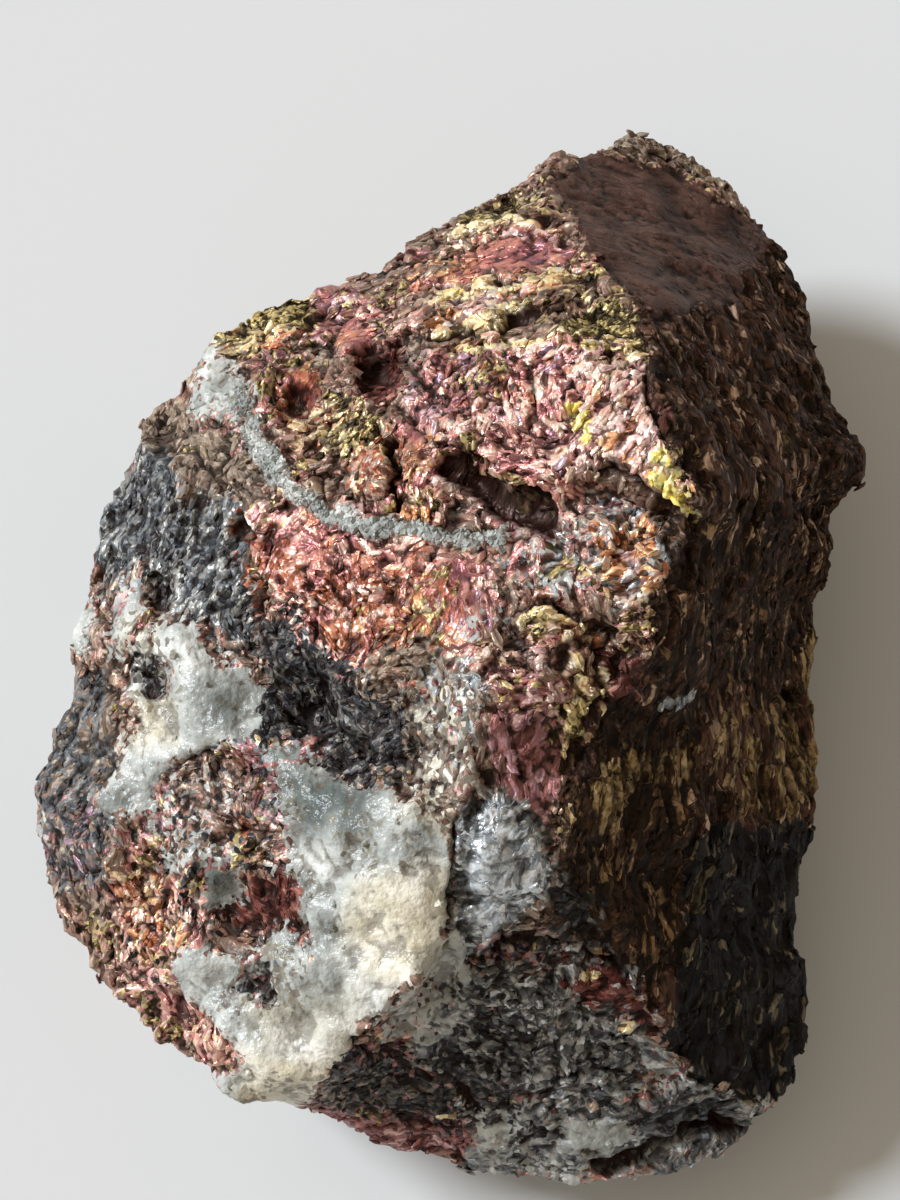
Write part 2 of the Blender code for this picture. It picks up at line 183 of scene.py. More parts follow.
def divide(body):
    """Divides the triangles until hardly an edge is longer than is wanted where it lies."""
    eye = Vector(TO_EYE)
    for _ in range(DIVIDING_ROUNDS):
        body.normal_update()
        long_edges = []
        for edge in body.edges:
            faces_eye = any(face.normal.dot(eye) > FACES_EYE for face in edge.link_faces)
            if edge.calc_length() > (FINE_EDGE if faces_eye else COARSE_EDGE):
                long_edges.append(edge)
        bmesh.ops.subdivide_edges(body, edges=long_edges, cuts=1)
        bmesh.ops.triangulate(body, faces=body.faces)
        if len(body.faces) < FEW_FACES:
            bmesh.ops.beautify_fill(body, faces=body.faces, edges=body.edges)


divide(body)
bmesh.ops.recalc_face_normals(body, faces=body.faces)
skin = bpy.data.meshes.new("stone")
body.to_mesh(skin)
body.free()
count = len(skin.vertices)
ends = np.empty(len(skin.edges) * 2, int)
skin.edges.foreach_get("vertices", ends)
ends = ends.reshape(-1, 2)
neighbours = np.bincount(ends.ravel(), minlength=count)[:, None]


def read(collection, name):
    """Reads a three-part value of every vertex into an array."""
    values = np.empty(count * 3)
    collection.foreach_get(name, values)
    return values.reshape(-1, 3)


def relaxed(values, rounds, strength):
    """Evens out a value of the vertices with that of their neighbours."""
    for _ in range(rounds):
        total = np.zeros_like(values)
        np.add.at(total, ends[:, 0], values[ends[:, 1]])
        np.add.at(total, ends[:, 1], values[ends[:, 0]])
        values = values + (total / neighbours - values) * strength
    return values


def normals_of(points):
    """Gives the outward normals of the skin when its vertices lie at these points."""
    skin.vertices.foreach_set("co", points.ravel())
    skin.update()
    return read(skin.vertex_normals, "vector")


FLAT_HEIGHT = 0.02
WEAR_ROUNDS, WEAR_STRENGTH = 5, 0.5
FACING_FIRMNESS = 4.0
points = read(skin.vertices, "co")
on_flat = points[:, 2] < FLAT_HEIGHT
worn = relaxed(points, WEAR_ROUNDS, WEAR_STRENGTH)
worn[on_flat] = points[on_flat]
points = worn
normals = normals_of(points)
facing = np.clip(normals @ TO_EYE * FACING_FIRMNESS, 0.0, 1.0)


def seen_in_picture(places):
    """Gives where in the 900 x 1200 picture each point, in millimetres, is seen."""
    offset = places - SIGHT_AIM
    shrink = 1.0 - offset @ TO_EYE / SIGHT_DISTANCE
    across = offset[:, 0] / shrink / MM_PER_PIXEL
    up = offset @ SIGHT_UP / shrink / MM_PER_PIXEL
    return np.column_stack([PICTURE_WIDTH / 2 + across, PICTURE_HEIGHT / 2 - up])


def for_each(places, rule):
    """Works out a rule for each point."""
    return np.array([rule(Vector(place)) for place in places])


# The minerals' borders wander by some pixels, in waves. The noise has a fixed seed, so that each run gives the
# same stone.
WARP_SIZE = 1.6
WARP_PIXELS = 9.0
NOISE_SEED = 1
noise.seed_set(NOISE_SEED)
wave = for_each(points / WARP_SIZE, lambda place: noise.turbulence_vector(place, 3, False))
seen_wavy = seen_in_picture(points) + wave[:, :2] * WARP_PIXELS


def distance_to(line):
    """Gives how far each point is seen from a line of straight stretches, in pixels."""
    nearest = np.full(count, np.inf)
    for start, end in zip(np.array(line, float), np.array(line[1:], float)):
        along = end - start
        share = np.clip((seen_wavy - start) @ along / (along @ along), 0.0, 1.0)
        gap = seen_wavy - start - share[:, None] * along
        nearest = np.minimum(nearest, (gap * gap).sum(axis=1))
    return np.sqrt(nearest)


def depth_inside(outline):
    """Gives how deep inside an outline each point is seen, in pixels: below 0 outside it."""
    x, y = seen_wavy.T
    inside = np.zeros(count, bool)
    for (start_x, start_y), (end_x, end_y) in zip(outline, outline[1:] + outline[:1]):
        if start_y != end_y:
            crossed = (start_y > y) != (end_y > y)
            crossing = start_x + (y - start_y) * (end_x - start_x) / (end_y - start_y)
            inside ^= crossed & (x < crossing)
    return np.where(inside, 1.0, -1.0) * distance_to(outline + outline[:1])


# Forms that more than one mineral or tarnish follows, by places in the picture
MAUVE_TIP = [
    (545, 180), (600, 150), (650, 165), (700, 183), (740, 215), (765, 232), (772, 248), (745, 270),
    (742, 300), (705, 308), (655, 318), (632, 298), (612, 275), (590, 250), (575, 215),
]
LEFT_BAND = [
    (90, 490), (118, 470), (160, 445), (178, 470), (182, 495), (215, 490), (236, 500), (238, 560),
    (250, 590), (262, 640), (240, 660), (212, 640), (190, 618), (160, 612), (140, 560), (128, 585),
    (105, 600), (85, 560),
]
GREY_FACET = [(462, 805), (495, 795), (545, 835), (556, 880), (520, 920), (462, 950)]
PLUM_BLOCK = [(485, 690), (560, 680), (575, 700), (568, 760), (548, 835), (505, 800), (478, 750)]
FRONT_EDGE = [(620, 1060), (700, 1062), (700, 1090), (640, 1085)]
QUARTZ_GRAIN = [(200, 868), (240, 866), (246, 902), (205, 908)]
QUARTZ_STRIP = [(240, 742), (300, 745), (300, 765), (262, 770)]

# Where each mineral and tarnish shows: outlines by places in the picture, each with the share of the grains
# inside it that it takes. Plate is the smooth mauve tip, sheet and level are smoother ground, grit is sand in
# the quartz, and cream and glassy are kinds of quartz. The pinkish-white glints are painted highlights, and the
# bluish-white glints are painted highlights and reflections, with some pale flecks.
minerals = {
    "umber": [
        ([(585, 235), (640, 318), (648, 360), (650, 400), (662, 440), (692, 478), (697, 520), (668, 535),
          (662, 600), (658, 655), (612, 662), (600, 700), (582, 740), (570, 772), (563, 812), (567, 845),
          (560, 880), (530, 925), (570, 935), (640, 985), (690, 1080), (720, 1100), (800, 1092), (920, 1100),
          (920, 180), (760, 225), (700, 310), (640, 310)], 1.0),
    ],
    "plate": [
        (MAUVE_TIP, 1.0),
    ],
    "sheet": [
        (MAUVE_TIP, 1.0),
        ([(455, 262), (480, 245), (520, 236), (560, 240), (580, 252), (560, 264), (500, 273)], 0.7),
        ([(280, 390), (296, 366), (318, 362), (326, 385), (318, 412), (290, 422)], 1.0),
        ([(350, 450), (366, 440), (384, 452), (388, 478), (366, 494), (346, 484)], 0.8),
        ([(330, 330), (362, 322), (380, 345), (340, 350)], 0.8),
        ([(398, 420), (420, 425), (434, 455), (418, 475), (402, 450)], 0.7),
        ([(270, 510), (330, 505), (330, 560), (290, 590), (270, 560)], 0.6),
        ([(410, 555), (495, 560), (500, 640), (430, 650)], 0.6),
        ([(500, 740), (555, 725), (560, 770), (545, 825), (510, 795)], 0.3),
        ([(460, 820), (490, 800), (520, 830), (500, 920), (460, 950)], 0.4),
    ],
    "lilac": [
        ([(400, 345), (560, 340), (600, 470), (560, 480), (450, 440), (400, 440)], 0.24),
        ([(540, 440), (600, 440), (590, 475), (550, 490)], 0.4),
        ([(520, 236), (580, 240), (575, 262), (530, 262)], 0.4),
        ([(600, 460), (660, 460), (650, 480), (610, 478)], 0.3),
        ([(420, 555), (500, 560), (500, 640), (420, 640)], 0.25),
        ([(470, 640), (570, 640), (560, 720), (480, 700)], 0.2),
        ([(60, 810), (118, 800), (118, 875), (66, 885)], 0.3),
        ([(300, 500), (420, 530), (400, 580), (300, 560)], 0.15),
    ],
    "apricot": [
        ([(590, 420), (640, 400), (690, 490), (650, 490), (600, 460)], 0.5),
        ([(380, 410), (440, 430), (440, 480), (400, 500)], 0.45),
        ([(430, 290), (580, 264), (540, 300), (440, 335)], 0.35),
        ([(415, 262), (470, 250), (480, 275), (415, 285)], 0.5),
        ([(230, 330), (300, 325), (300, 350), (235, 362)], 0.4),
        ([(110, 870), (175, 870), (180, 970), (120, 950)], 0.5),
        ([(590, 520), (660, 520), (660, 590), (600, 590)], 0.65),
        ([(290, 540), (440, 560), (450, 660), (330, 660)], 0.22),
        ([(390, 495), (430, 500), (430, 530), (395, 525)], 0.5),
        ([(345, 440), (390, 440), (390, 500), (345, 495)], 0.4),
        ([(555, 612), (600, 620), (600, 645), (560, 640)], 0.4),
    ],
    "level": [
        (GREY_FACET, 0.9),
        (PLUM_BLOCK, 0.5),
        ([(250, 510), (480, 550), (500, 640), (430, 700), (300, 650)], 0.35),
        ([(30, 700), (110, 650), (130, 880), (60, 900)], 0.85),
        ([(310, 1040), (500, 1040), (520, 1160), (310, 1160)], 0.3),
    ],
    "grit": [
        ([(330, 820), (375, 815), (380, 870), (335, 875)], 0.35),
        ([(395, 830), (430, 830), (430, 870), (395, 870)], 0.35),
        ([(225, 1075), (345, 1065), (320, 1105), (230, 1105)], 0.4),
        ([(225, 940), (300, 935), (310, 1010), (225, 1010)], 0.55),
        ([(120, 610), (175, 610), (180, 700), (120, 740)], 0.35),
        ([(400, 660), (480, 660), (480, 860), (400, 820)], 0.4),
        ([(185, 340), (270, 400), (250, 460), (185, 420)], 0.25),
        ([(270, 770), (310, 780), (310, 900), (280, 880)], 0.35),
    ],
    "blush": [
        ([(452, 266), (478, 246), (518, 234), (560, 238), (582, 250), (562, 264), (500, 275), (420, 290),
          (415, 280)], 1.0),
        ([(328, 328), (362, 322), (384, 345), (336, 352)], 0.9),
        ([(396, 424), (420, 425), (434, 455), (418, 478), (402, 455)], 0.75),
        ([(300, 512), (328, 505), (332, 560), (306, 575), (296, 545)], 0.95),
        ([(360, 545), (420, 545), (430, 580), (380, 590), (350, 565)], 0.5),
        ([(440, 560), (470, 560), (480, 640), (450, 645)], 0.55),
        ([(600, 440), (650, 440), (655, 475), (610, 470)], 0.6),
        ([(430, 465), (450, 462), (456, 490), (436, 498)], 0.8),
    ],
    "dust": [
        ([(380, 630), (470, 640), (490, 800), (460, 880), (400, 800), (330, 700)], 0.7),
        ([(290, 340), (345, 335), (355, 370), (310, 372)], 0.6),
        ([(395, 330), (430, 325), (430, 360), (400, 400), (390, 380)], 0.6),
        ([(160, 830), (240, 830), (240, 870), (160, 880)], 0.4),
        ([(55, 880), (100, 880), (160, 1000), (140, 1010), (90, 960)], 0.4),
        ([(238, 540), (258, 550), (300, 640), (340, 680), (330, 700), (280, 640), (255, 600)], 0.6),
        ([(560, 165), (600, 140), (630, 120), (690, 140), (715, 170), (750, 215), (700, 182), (650, 164),
          (605, 152)], 0.85),
        ([(120, 470), (128, 420), (150, 395), (190, 395), (200, 420), (240, 430), (262, 470), (255, 500),
          (210, 500), (180, 490), (165, 450)], 0.75),
        ([(330, 285), (420, 235), (450, 225), (440, 250), (380, 275), (340, 300)], 0.5),
        ([(60, 690), (110, 660), (125, 720), (118, 770), (90, 800), (80, 850), (30, 830), (30, 790)], 0.7),
        ([(30, 800), (120, 790), (120, 880), (60, 900)], 0.6),
    ],
    "peat": [
        ([(655, 500), (700, 520), (760, 480), (840, 480), (840, 700), (640, 700), (650, 600)], 0.7),
        ([(560, 830), (600, 700), (700, 700), (700, 980), (640, 985), (560, 930)], 0.85),
        ([(800, 300), (830, 380), (870, 440), (870, 500), (820, 520), (800, 420)], 0.6),
        ([(640, 340), (680, 340), (700, 520), (670, 500)], 0.6),
        ([(760, 225), (810, 270), (815, 330), (770, 300), (745, 260)], 0.6),
    ],
    "charcoal": [
        ([(690, 838), (722, 822), (760, 826), (840, 815), (840, 1000), (812, 1070), (790, 1110), (735, 1098),
          (700, 1085), (668, 1040), (672, 980), (690, 940), (684, 880)], 1.0),
    ],
    "wine": [
        ([(202, 905), (240, 895), (250, 880), (298, 875), (296, 920), (320, 950), (305, 965), (275, 925),
          (240, 925)], 1.0),
        ([(556, 958), (620, 955), (655, 1010), (655, 1040), (610, 1015), (570, 995)], 0.8),
        ([(600, 648), (648, 655), (645, 690), (605, 700)], 1.0),
        ([(355, 350), (395, 345), (398, 392), (370, 402), (352, 385)], 1.0),
        ([(283, 395), (298, 370), (318, 366), (320, 400), (300, 418)], 0.8),
        ([(390, 1120), (430, 1115), (465, 1140), (440, 1160), (390, 1150)], 0.5),
        ([(255, 640), (275, 700), (300, 740), (280, 700), (265, 650)], 0.3),
        ([(300, 735), (330, 735), (320, 770), (300, 765)], 0.6),
        ([(300, 600), (420, 600), (440, 680), (380, 700), (320, 660)], 0.25),
        ([(640, 360), (665, 380), (680, 440), (660, 430)], 0.5),
    ],
    # Painted highlights: pinkish-white glints laid as colour where the bornite catches the window.
    "pearl": [
        ([(560, 365), (650, 350), (660, 430), (690, 500), (620, 470), (570, 470)], 0.45),
        ([(430, 286), (580, 262), (520, 310), (440, 330)], 0.6),
        ([(400, 400), (560, 400), (560, 470), (500, 460), (420, 440)], 0.2),
        ([(470, 490), (540, 515), (560, 530), (500, 535), (470, 512)], 0.5),
        ([(590, 350), (640, 350), (655, 420), (600, 410)], 0.4),
        ([(470, 640), (560, 635), (570, 740), (530, 720), (480, 700)], 0.38),
        ([(430, 470), (470, 480), (490, 530), (430, 500)], 0.35),
        ([(610, 570), (655, 570), (650, 620), (610, 610)], 0.35),
        ([(120, 965), (165, 965), (230, 1045), (200, 1045)], 0.25),
        ([(200, 780), (270, 780), (280, 830), (210, 820)], 0.25),
        ([(110, 880), (165, 880), (170, 960), (120, 950)], 0.45),
        ([(560, 460), (640, 470), (600, 485), (560, 500)], 0.25),
    ],
    "lemon": [
        ([(560, 320), (600, 320), (590, 350), (565, 350)], 0.3),
        ([(440, 345), (560, 330), (560, 345), (450, 356)], 0.3),
        ([(650, 450), (675, 450), (695, 520), (665, 490)], 0.5),
        ([(380, 440), (392, 450), (392, 475), (380, 465)], 0.5),
        ([(440, 290), (460, 288), (460, 310), (440, 312)], 0.4),
        ([(575, 690), (590, 690), (570, 770), (560, 770)], 0.3),
    ],
    # Painted highlights and reflections: bluish-white glints and the window's reflection on the grey facet, with
    # some pale flecks in the trough.
    "frost": [
        (GREY_FACET, 0.85),
        ([(500, 510), (560, 505), (600, 480), (640, 500), (690, 545), (640, 600), (550, 600), (500, 575)],
         0.22),
        ([(400, 680), (470, 640), (485, 700), (470, 790), (420, 740)], 0.42),
        ([(560, 1125), (620, 1118), (640, 1138), (600, 1150), (560, 1148)], 0.7),
        ([(450, 980), (560, 1000), (630, 1060), (560, 1070), (450, 1020)], 0.3),
        ([(250, 620), (420, 700), (460, 800), (300, 770)], 0.14),
        (FRONT_EDGE, 0.3),
    ],
    "slate": [
        ([(430, 960), (540, 955), (640, 1050), (620, 1090), (480, 1060)], 0.5),
        ([(600, 1105), (660, 1100), (780, 1098), (770, 1125), (700, 1150), (640, 1140)], 0.9),
        ([(540, 1150), (650, 1150), (720, 1135), (680, 1175), (560, 1185)], 0.6),
        ([(560, 860), (600, 900), (600, 950), (540, 930)], 0.6),
        ([(40, 700), (110, 650), (125, 780), (110, 880), (60, 900), (20, 830)], 0.6),
        (LEFT_BAND, 0.55),
    ],
    "sulphide": [
        (LEFT_BAND, 0.9),
        ([(458, 800), (490, 790), (520, 800), (545, 830), (558, 860), (552, 890), (520, 922), (480, 945),
          (455, 960), (445, 920), (452, 860)], 0.95),
        ([(480, 540), (500, 510), (560, 505), (600, 480), (640, 500), (690, 545), (672, 575), (640, 600),
          (620, 625), (590, 610), (550, 600), (512, 612), (497, 575)], 0.38),
        ([(395, 665), (440, 645), (480, 640), (488, 700), (478, 790), (458, 810), (452, 880), (400, 800),
          (420, 740)], 0.3),
        ([(50, 690), (112, 690), (122, 760), (90, 790), (80, 830), (30, 860), (25, 800)], 0.45),
        ([(440, 970), (520, 960), (600, 990), (640, 1050), (640, 1100), (560, 1110), (500, 1090), (440, 1080),
          (400, 1050), (430, 1000)], 0.85),
        ([(470, 1100), (640, 1090), (700, 1070), (790, 1100), (700, 1170), (560, 1190), (450, 1180)], 0.8),
        ([(130, 640), (165, 640), (170, 690), (150, 705), (132, 690)], 0.9),
        ([(228, 945), (290, 945), (298, 1010), (250, 1020), (225, 990)], 0.7),
        ([(120, 640), (175, 640), (182, 700), (150, 712), (122, 700)], 0.5),
        ([(560, 930), (640, 960), (660, 1040), (690, 1080), (640, 1080), (600, 1030), (540, 960)], 0.8),
    ],
    "soot": [
        ([(430, 960), (540, 950), (640, 1040), (690, 1085), (600, 1100), (480, 1080), (430, 1020)], 0.28),
        ([(330, 1060), (500, 1050), (520, 1110), (440, 1130), (340, 1110)], 0.85),
        ([(250, 770), (420, 740), (460, 800), (420, 810), (300, 770)], 0.3),
        ([(400, 345), (540, 345), (520, 400), (440, 440), (400, 430)], 0.2),
        ([(150, 760), (290, 760), (290, 950), (160, 930)], 0.34),
        ([(60, 880), (110, 880), (200, 1010), (150, 1000)], 0.2),
        ([(246, 632), (262, 612), (285, 605), (312, 640), (345, 660), (365, 680), (400, 705), (420, 720),
          (415, 760), (400, 775), (360, 785), (320, 775), (290, 740), (262, 750), (240, 735), (248, 700),
          (262, 690), (258, 660)], 0.9),
        ([(140, 655), (160, 655), (165, 690), (150, 700), (138, 690)], 1.0),
        ([(148, 560), (165, 560), (170, 600), (160, 620), (145, 600)], 0.8),
        ([(245, 970), (275, 968), (282, 1000), (262, 1008), (245, 1000)], 0.8),
        ([(320, 1035), (360, 1040), (430, 1060), (470, 1100), (400, 1100), (320, 1110)], 0.7),
        ([(440, 940), (520, 925), (570, 935), (560, 960), (480, 965), (445, 975)], 0.7),
    ],
    "ochre": [
        ([(596, 765), (640, 755), (640, 800), (620, 832), (598, 830)], 0.65),
        ([(620, 742), (705, 745), (695, 785), (640, 795)], 0.6),
        ([(712, 696), (815, 690), (818, 828), (730, 822), (712, 760)], 0.55),
        ([(560, 850), (640, 850), (650, 930), (600, 900)], 0.25),
        ([(798, 630), (830, 630), (835, 800), (800, 800)], 0.8),
        ([(640, 890), (680, 890), (700, 980), (660, 980)], 0.3),
        ([(730, 990), (785, 990), (785, 1070), (740, 1070)], 0.22),
        ([(776, 420), (795, 420), (797, 450), (780, 452)], 0.7),
        ([(700, 420), (740, 420), (770, 640), (700, 640)], 0.15),
        ([(560, 800), (585, 800), (585, 860), (560, 850)], 0.4),
    ],
    "rose": [
        ([(400, 400), (425, 345), (470, 335), (560, 335), (620, 350), (645, 385), (655, 430), (692, 480),
          (690, 510), (660, 492), (640, 478), (600, 465), (570, 482), (560, 505), (500, 470), (450, 440),
          (400, 440)], 0.85),
        ([(245, 520), (330, 505), (420, 535), (480, 555), (512, 600), (480, 640), (440, 690), (400, 702),
          (350, 680), (300, 650), (272, 600), (250, 560)], 0.85),
        ([(100, 880), (160, 865), (200, 890), (200, 950), (170, 1000), (110, 970)], 0.85),
        ([(110, 960), (180, 960), (240, 1050), (230, 1085), (190, 1050), (130, 1010)], 0.6),
        ([(300, 315), (370, 310), (420, 290), (440, 250), (460, 260), (440, 320), (400, 350), (300, 360)], 0.5),
        ([(230, 320), (300, 318), (300, 345), (240, 360)], 0.5),
        ([(50, 810), (118, 800), (118, 875), (60, 885)], 0.15),
        ([(475, 480), (520, 500), (540, 530), (500, 535), (470, 510)], 0.7),
        ([(390, 400), (440, 440), (470, 500), (420, 520), (395, 480)], 0.6),
        ([(540, 480), (610, 480), (650, 500), (680, 560), (650, 620), (560, 600), (500, 580), (500, 530)],
         0.45),
        ([(615, 575), (655, 575), (655, 640), (615, 620)], 0.5),
        ([(470, 640), (570, 640), (570, 700), (480, 700)], 0.45),
        ([(170, 760), (280, 770), (290, 870), (170, 870)], 0.3),
    ],
    "plum": [
        (PLUM_BLOCK, 0.9),
        ([(310, 1110), (350, 1105), (470, 1105), (470, 1160), (400, 1165), (320, 1140)], 0.85),
        ([(350, 1045), (500, 1050), (510, 1105), (350, 1100)], 0.6),
        ([(30, 790), (118, 790), (118, 880), (60, 900), (30, 850)], 0.6),
        ([(420, 560), (490, 570), (490, 640), (420, 640)], 0.4),
        ([(230, 740), (290, 770), (285, 830), (240, 800)], 0.4),
        ([(395, 335), (500, 338), (500, 400), (450, 440), (400, 440)], 0.55),
        ([(300, 290), (430, 240), (440, 300), (300, 345)], 0.35),
        ([(305, 720), (320, 720), (315, 760), (295, 760)], 0.6),
        ([(460, 940), (560, 945), (550, 985), (465, 970)], 0.4),
        ([(250, 350), (280, 350), (280, 380), (250, 380)], 0.6),
    ],
    "gold": [
        ([(430, 292), (460, 284), (500, 280), (580, 262), (560, 292), (510, 312), (440, 338)], 1.0),
        ([(455, 226), (500, 216), (545, 222), (570, 240), (500, 232), (455, 250), (430, 262)], 0.6),
        ([(440, 345), (520, 328), (600, 330), (600, 352), (520, 345), (450, 356)], 0.45),
        ([(560, 365), (640, 355), (655, 420), (680, 470), (640, 470), (600, 450), (560, 460)], 0.5),
        ([(570, 330), (600, 300), (640, 335), (645, 362), (610, 350), (575, 352)], 0.5),
        ([(560, 395), (590, 395), (590, 440), (562, 440)], 0.5),
        ([(640, 450), (680, 450), (695, 520), (655, 490)], 0.65),
        ([(215, 335), (250, 330), (260, 350), (225, 358)], 0.75),
        ([(250, 320), (300, 318), (300, 335), (255, 340)], 0.35),
        ([(280, 415), (385, 400), (395, 470), (330, 460), (285, 445)], 0.55),
        ([(345, 450), (395, 450), (395, 500), (345, 495)], 0.35),
        ([(215, 520), (240, 510), (270, 590), (250, 600)], 0.45),
        ([(590, 515), (655, 520), (665, 590), (600, 580)], 0.6),
        ([(500, 500), (600, 490), (600, 530), (500, 530)], 0.25),
        ([(510, 610), (590, 610), (605, 640), (560, 650), (515, 640)], 0.5),
        ([(610, 640), (662, 635), (662, 660), (615, 662)], 0.5),
        ([(560, 640), (605, 660), (595, 700), (570, 780), (560, 800), (555, 760), (575, 690)], 0.45),
        ([(340, 655), (430, 645), (440, 690), (400, 702), (350, 685)], 0.3),
        ([(118, 870), (140, 870), (150, 970), (120, 960)], 0.5),
        ([(130, 950), (170, 950), (175, 975), (135, 975)], 0.6),
        ([(150, 980), (230, 1000), (240, 1060), (180, 1030)], 0.25),
        ([(425, 535), (470, 540), (470, 560), (430, 560)], 0.5),
        ([(400, 620), (450, 620), (440, 700), (400, 760)], 0.2),
        ([(320, 380), (400, 400), (400, 420), (320, 420)], 0.3),
        ([(290, 400), (380, 395), (385, 440), (300, 440)], 0.5),
        ([(660, 530), (680, 530), (660, 650), (650, 650)], 0.3),
    ],
    "olive": [
        ([(465, 205), (500, 188), (545, 178), (575, 215), (540, 215), (470, 222)], 0.7),
        ([(205, 330), (240, 300), (300, 290), (305, 318), (230, 330)], 0.7),
        ([(540, 296), (590, 272), (640, 318), (645, 350), (600, 326), (540, 326), (440, 345), (440, 332)], 0.6),
        ([(320, 380), (390, 400), (395, 450), (320, 450)], 0.4),
        ([(370, 270), (430, 262), (440, 275), (370, 300)], 0.5),
        ([(575, 640), (600, 660), (590, 720), (570, 760)], 0.4),
        ([(55, 890), (85, 900), (80, 930), (60, 920)], 0.6),
        ([(500, 605), (550, 610), (545, 635), (505, 632)], 0.5),
    ],
    "rust": [
        ([(290, 560), (460, 570), (450, 690), (400, 705), (320, 680)], 0.6),
        ([(245, 530), (300, 520), (300, 640), (262, 600)], 0.5),
        ([(400, 340), (560, 345), (540, 400), (470, 430), (410, 400)], 0.35),
        ([(282, 385), (300, 362), (322, 360), (318, 415), (285, 420)], 0.9),
        ([(232, 520), (250, 545), (268, 600), (262, 630), (240, 590)], 0.85),
        ([(228, 812), (252, 812), (255, 840), (235, 842)], 0.85),
        ([(345, 440), (385, 440), (385, 490), (345, 495)], 0.55),
        ([(110, 875), (165, 875), (165, 960), (115, 950)], 0.5),
        ([(380, 420), (420, 440), (400, 500), (385, 470)], 0.4),
    ],
    "quartz": [
        ([(262, 760), (300, 755), (340, 780), (380, 788), (410, 800), (450, 830), (455, 870), (448, 900),
          (442, 930), (465, 960), (455, 985), (410, 975), (388, 1005), (360, 1030), (342, 1055), (322, 1082),
          (305, 1110), (250, 1115), (222, 1095), (212, 1080), (238, 1060), (226, 1030), (205, 1010),
          (178, 1002), (172, 962), (195, 948), (232, 955), (255, 945), (285, 925), (300, 945), (312, 958),
          (300, 915), (292, 880), (286, 850), (290, 820), (272, 790)], 0.92),
        ([(165, 618), (185, 618), (207, 640), (215, 660), (250, 668), (266, 700), (256, 730), (240, 745),
          (205, 748), (170, 765), (152, 790), (160, 812), (128, 818), (98, 815), (82, 800), (110, 785),
          (122, 750), (132, 720), (125, 690), (138, 650)], 0.9),
        ([(122, 592), (138, 572), (144, 600), (140, 640), (120, 662), (108, 650), (116, 620)], 0.85),
        ([(72, 612), (95, 598), (97, 630), (82, 655), (62, 652), (62, 628)], 0.85),
        ([(188, 402), (200, 355), (215, 338), (224, 350), (237, 370), (252, 388), (262, 402), (264, 432),
          (262, 462), (245, 450), (240, 420), (215, 420), (195, 420)], 0.8),
        (QUARTZ_GRAIN, 0.85),
        ([(150, 845), (235, 838), (240, 868), (160, 878)], 0.5),
        ([(140, 770), (240, 770), (230, 850), (130, 850)], 0.3),
        ([(255, 780), (300, 780), (300, 880), (262, 880)], 0.3),
        (QUARTZ_STRIP, 0.8),
        ([(560, 1122), (620, 1115), (645, 1138), (600, 1152), (560, 1150)], 0.9),
        ([(470, 1115), (530, 1110), (525, 1140), (480, 1142)], 0.6),
        ([(388, 1000), (420, 978), (470, 985), (450, 1030), (420, 1050), (380, 1035)], 0.6),
        ([(400, 680), (440, 660), (480, 700), (475, 790), (455, 850), (400, 800), (415, 740)], 0.45),
        ([(480, 1145), (600, 1150), (700, 1140), (620, 1185), (500, 1180)], 0.4),
        (FRONT_EDGE, 0.35),
        ([(735, 1100), (795, 1098), (760, 1140), (735, 1130)], 0.4),
        ([(500, 540), (600, 520), (600, 600), (520, 600)], 0.3),
        ([(25, 815), (45, 815), (50, 850), (35, 850)], 0.6),
        ([(455, 610), (500, 600), (510, 620), (470, 650), (450, 640)], 0.4),
        ([(300, 600), (330, 640), (330, 670), (300, 650)], 0.2),
    ],
    "cream": [
        ([(362, 880), (442, 868), (442, 930), (432, 960), (392, 992), (355, 975), (345, 920)], 1.0),
        ([(240, 1055), (345, 1045), (320, 1100), (240, 1110)], 1.0),
        ([(128, 700), (172, 700), (172, 742), (128, 745)], 1.0),
        ([(400, 680), (480, 680), (470, 850), (400, 800)], 0.8),
        ([(245, 1000), (370, 980), (350, 1060), (260, 1060)], 0.5),
        ([(130, 620), (160, 620), (150, 650), (130, 650)], 1.0),
    ],
    "glassy": [
        ([(262, 760), (340, 778), (385, 792), (362, 832), (310, 835), (280, 802)], 1.0),
        (QUARTZ_GRAIN, 1.0),
        ([(180, 690), (235, 680), (235, 730), (190, 740)], 0.5),
        ([(85, 785), (130, 785), (130, 815), (90, 815)], 0.9),
        ([(300, 960), (360, 960), (340, 1010), (290, 1000)], 0.5),
        (QUARTZ_STRIP, 0.9),
    ],
}

# How many pixels wide the borders are, over which a share fades
BORDER = 26.0
CRISP_BORDERS = {"umber": 8.0, "plate": 6.0, "sheet": 6.0, "charcoal": 14.0, "quartz": 20.0, "cream": 30.0}
shares = {}
for mineral, patches in minerals.items():
    share = np.zeros(count)
    border = CRISP_BORDERS.get(mineral, BORDER)
    for outline, amount in patches:
        soft = np.clip(depth_inside(outline) / border + 0.5, 0.0, 1.0)
        share = np.maximum(share, soft * amount)
    shares[mineral] = share
